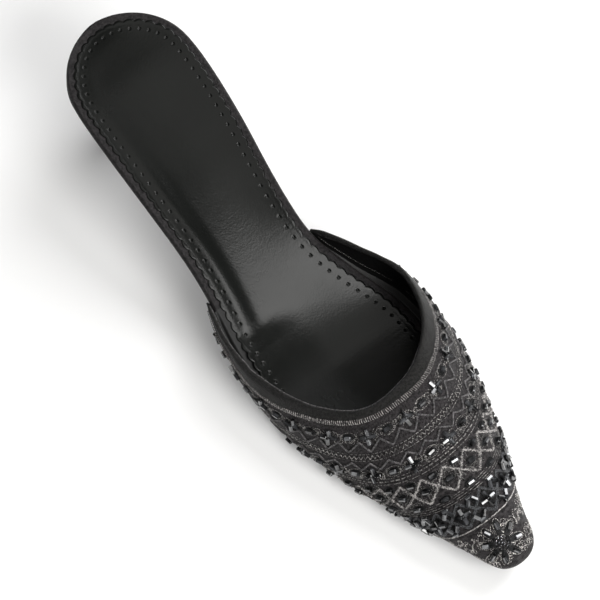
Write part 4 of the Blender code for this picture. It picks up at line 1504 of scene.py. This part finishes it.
class SockPattern:
    """The sock's outline, scallops and pinholes on the board, and how high it lies over it."""

    def __init__(self, settings):
        self.settings = settings
        self.bed = Footbed(SOCK_SPACING)
        outline = self.bed.edge
        for _ in range(12):
            outline = (np.roll(outline, 1, 0) + 2 * outline + np.roll(outline, -1, 0)) / 4
        course = unit(np.roll(outline, -2, 0) - np.roll(outline, 2, 0))
        self.outline, self.inward = outline, np.stack([-course[:, 1], course[:, 0]], axis=1)
        seam = outline + self.inward * settings.inset
        run = run_lengths(np.concatenate([seam, seam[:1]]))
        self.scallops = int(round(run[-1] / settings.scallop_pitch))
        self.phase = run[:-1] / run[-1] * self.scallops
        self.lobe = np.abs(np.sin(math.pi * self.phase)) ** 0.7
        hole_line = outline + self.inward * (settings.inset + settings.hole_inset)
        self.holes = sampled(hole_line, self.phase, np.arange(self.scallops) + 0.5)
        self.rows = len(SOCK_ROWS) + SOCK_INNER_ROWS

    def place(self, around, across):
        """Points of the sock's top; across is 0 at its cut edge and 1 on the middle line."""
        column = np.round(around * len(self.outline)).astype(int) % len(self.outline)
        level = np.round(across * (self.rows - 1)).astype(int)
        step_in = SOCK_ROWS[np.minimum(level, len(SOCK_ROWS) - 1)]
        share = (np.maximum(level - len(SOCK_ROWS) + 1, 0) / SOCK_INNER_ROWS)[:, None]
        stands_out = self.settings.scallop_depth * self.lobe[column] * np.clip(1 - step_in / (2 * MM), 0, 1)
        inset = self.settings.inset + step_in - stands_out
        edge = self.outline[column]
        plan = (edge + self.inward[column] * inset[:, None]) * (1 - share) + self.bed.feet[column] * share
        from_edge = np.linalg.norm(plan - edge, axis=1)
        outer = smooth_step((self.bed.feet[column, 0] - edge[:, 0]) / (12 * MM))
        at_edge = share[:, 0] == 0
        own_hole = self.holes[np.floor(self.phase[column]).astype(int) % self.scallops]
        away = np.where(at_edge, np.linalg.norm(plan - own_hole, axis=1), 1.0)
        heights = np.array([self.bed.top(x, y) or 0.0 for x, y in plan])
        heights += self.settings.thickness + SOCK_LIFT + self.bend(plan, from_edge)
        heights += self.cushion(plan) + outer * self.cup(plan, from_edge)
        heights += self.edge_relief(step_in, at_edge) + self.pinhole(away)
        return np.column_stack([plan, heights]), plan

    def edge_relief(self, step_in, at_edge):
        """The rounded cut edge, the rolled welt beside it and the groove behind that."""
        depth, width = EDGE_ROUND
        welt = (ridge(step_in, *EDGE_ROLL) - ridge(step_in, *EDGE_GROOVE)) * at_edge
        return welt - depth * np.clip(1 - step_in / width, 0, 1) ** 2

    def pinhole(self, away):
        """A hole sunk into the leather, with a raised rim round it."""
        radius = self.settings.hole_radius
        sink = HOLE_DEPTH * np.clip(1.25 - away / radius, 0, 1) ** 0.7
        return ridge(away, HOLE_RIM[0], 1.45 * radius, HOLE_RIM[1]) - sink

    def bend(self, plan, from_edge):
        """The soft bend at the ball, on the outer part of the foot."""
        rounding, rising, fading = BEND_LENGTHS
        behind = plan[:, 1] - BALL_BEND[0] - BALL_BEND[1] * plan[:, 0]
        behind = (behind + np.sqrt(behind**2 + rounding**2)) / 2
        rise = BEND_DEPTH * (1 - np.exp(-behind / rising)) * np.exp(-behind / fading)
        margin = smooth_step((from_edge - self.settings.inset) / BEND_MARGIN)
        return rise * margin * fade_out(plan[:, 0], *BEND_INNER_END)

    def cushion(self, plan):
        """The padding: a slope to the outer side under the ball, and a lift under the forefoot."""
        start, rounding = CUSHION_ROUND
        side = np.maximum(-plan[:, 0] - start, 0)
        slope = CUSHION_SLOPE * (np.sqrt(side**2 + rounding**2) - rounding)
        lift, *end = FOREFOOT_LIFT
        return slope * fade_out(plan[:, 1], *CUSHION_END) + lift * fade_out(plan[:, 1], *end)

    def cup(self, plan, from_edge):
        """The low welt along the outer side, from the ball towards the heel."""
        behind = smooth_step((plan[:, 1] - BALL_BEND[0]) / CUP_START)
        rise = smooth_step((CUP_REACH - from_edge) / (CUP_REACH - CUP_CREST))
        fall = smooth_step((CUP_CREST - from_edge) / (CUP_CREST - self.settings.inset))
        return CUP_RISE * behind * fade_out(plan[:, 1], *CUP_FADE) * (rise - fall)


class MULE_OT_sock(bpy.types.Operator):
    """Leather sock with a scalloped edge and a pinhole in each scallop"""

    bl_idname = "mule.sock"
    bl_label = "Sock lining"

    def execute(self, context):
        settings = context.scene.mule_sock
        pattern = SockPattern(settings)
        mesh = bent_grid(len(pattern.outline), pattern.rows - 1, pattern.place)
        bmesh.ops.remove_doubles(mesh, verts=mesh.verts, dist=0.01 * MM)
        bmesh.ops.recalc_face_normals(mesh, faces=mesh.faces)
        if sum(face.normal.z for face in mesh.faces) < 0:
            bmesh.ops.reverse_faces(mesh, faces=mesh.faces)
        piece = new_piece("sock", mesh, ["sock leather"], ["sock_lining"])
        thicken(piece, settings.thickness)
        return {"FINISHED"}


# ---- sole and heel


def close_rim(mesh):
    """Fills the small notch where the board's rim meets at the back of the heel seat."""
    back = max(vertex.co.y for vertex in mesh.verts)
    last = [vertex for vertex in mesh.verts if vertex.co.y > back - 0.1 * MM]
    top = max(vertex.co.z for vertex in last)
    rim = [vertex.co.x for vertex in last if vertex.co.z > top - 0.01 * MM]
    for vertex in last:
        if vertex.co.z > top - 1.3 * MM and min(rim) < vertex.co.x < max(rim):
            vertex.co.z = top


class MULE_OT_bottom(bpy.types.Operator):
    """Satin covered board and heel, leather sole and rubber top piece"""

    bl_idname = "mule.bottom"
    bl_label = "Sole and heel"

    def execute(self, context):
        pieces = (
            ("board_cover", "insole_board", "satin cover", "satin"),
            ("leather_sole", "outsole", "sole leather", "sole_leather"),
            ("heel_cover", "heel", "satin cover", "satin"),
            ("heel_tip", "top_piece", "top piece rubber", "top_piece_rubber"),
        )
        for name, node, finish, slot in pieces:
            mesh = solid_copy(node)
            if node == "insole_board":
                close_rim(mesh)
            crease_sharp_edges(mesh, 50)
            piece = new_piece(name, mesh, [finish], [node])
            subdivide(piece, context.scene.mule_sole.smoothing)
        return {"FINISHED"}


# ---- stage


def area_light(name, place, size, power, colour, turn):
    light = bpy.data.lights.new(name, "AREA")
    light.shape = "SQUARE"
    light.size = size
    light.energy = power
    light.color = colour
    lamp = linked(name, light)
    lamp.location = place
    lamp.rotation_mode = "QUATERNION"
    lamp.rotation_quaternion = (-Vector(place)).to_track_quat("-Z", "Y") @ Quaternion((0, 0, 1), turn)


class MULE_OT_stage(bpy.types.Operator):
    """Pale floor, soft studio light and the camera"""

    bl_idname = "mule.stage"
    bl_label = "Stage"

    def execute(self, context):
        scene = context.scene
        settings = scene.mule_stage
        mesh = bmesh.new()
        bmesh.ops.create_grid(mesh, x_segments=1, y_segments=1, size=6.0)
        floor = linked("floor", mesh_data("floor", mesh))
        material, tree, shader = new_material("floor", 0.85)
        tinted(tree, shader, noise_node(tree, vector_from(tree, "OBJECT"), 3.0), settings.floor, 0.99, 1.01)
        shader.inputs["Emission Color"].default_value = (1.0, 1.0, 1.0, 1.0)
        shader.inputs["Emission Strength"].default_value = settings.glow
        floor.data.materials.append(material)

        world = bpy.data.worlds.new("studio")
        world.use_nodes = True
        background = world.node_tree.nodes["Background"]
        background.inputs["Color"].default_value = (1.0, 1.0, 1.0, 1.0)
        background.inputs["Strength"].default_value = settings.world
        scene.world = world
        for light in LIGHTS:
            area_light(*light)
        scene.view_settings.view_transform = "Standard"

        camera = bpy.data.cameras.new("camera")
        camera.lens = settings.lens
        camera.sensor_width = 36.0
        camera.clip_start = 0.05
        holder = linked("camera", camera)
        azimuth, elevation = settings.azimuth, settings.elevation
        back = Vector((math.sin(azimuth), -math.cos(azimuth), 0)) * math.cos(elevation)
        back.z = math.sin(elevation)
        holder.location = Vector(settings.target) + back * settings.distance
        holder.rotation_mode = "QUATERNION"
        holder.rotation_quaternion = (-back).to_track_quat("-Z", "Y")
        scene.camera = holder
        return {"FINISHED"}


class MULE_PT_panel(bpy.types.Panel):
    """The mule's pieces and their settings"""

    bl_idname = "MULE_PT_panel"
    bl_label = "Kitten heel mule"
    bl_space_type = "VIEW_3D"
    bl_region_type = "UI"
    bl_category = "Mule"

    def draw(self, context):
        for operator in OPERATORS:
            self.layout.operator(operator.bl_idname)
        for name in SETTINGS:
            group = getattr(context.scene, name)
            box = self.layout.box()
            for setting in group.__annotations__:
                box.prop(group, setting)


OPERATORS = (
    MULE_OT_vamp,
    MULE_OT_ribbon,
    MULE_OT_zigzags,
    MULE_OT_flower_rows,
    MULE_OT_diamonds,
    MULE_OT_lattice,
    MULE_OT_toe_flower,
    MULE_OT_sock,
    MULE_OT_bottom,
    MULE_OT_stage,
)
SETTINGS = {
    "mule_cloth": MuleClothSettings,
    "mule_threads": MuleThreadSettings,
    "mule_beads": MuleBeadSettings,
    "mule_sock": MuleSockSettings,
    "mule_sole": MuleSoleSettings,
    "mule_stage": MuleStageSettings,
}


def register():
    for name, group in SETTINGS.items():
        bpy.utils.register_class(group)
        setattr(bpy.types.Scene, name, PointerProperty(type=group))
    for item in (*OPERATORS, MULE_PT_panel):
        bpy.utils.register_class(item)


def unregister():
    for item in reversed((*OPERATORS, MULE_PT_panel)):
        bpy.utils.unregister_class(item)
    for name, group in SETTINGS.items():
        delattr(bpy.types.Scene, name)
        bpy.utils.unregister_class(group)


def main():
    register()
    for operator in OPERATORS:
        group, name = operator.bl_idname.split(".")
        getattr(getattr(bpy.ops, group), name)()


if __name__ == "__main__":
    main()
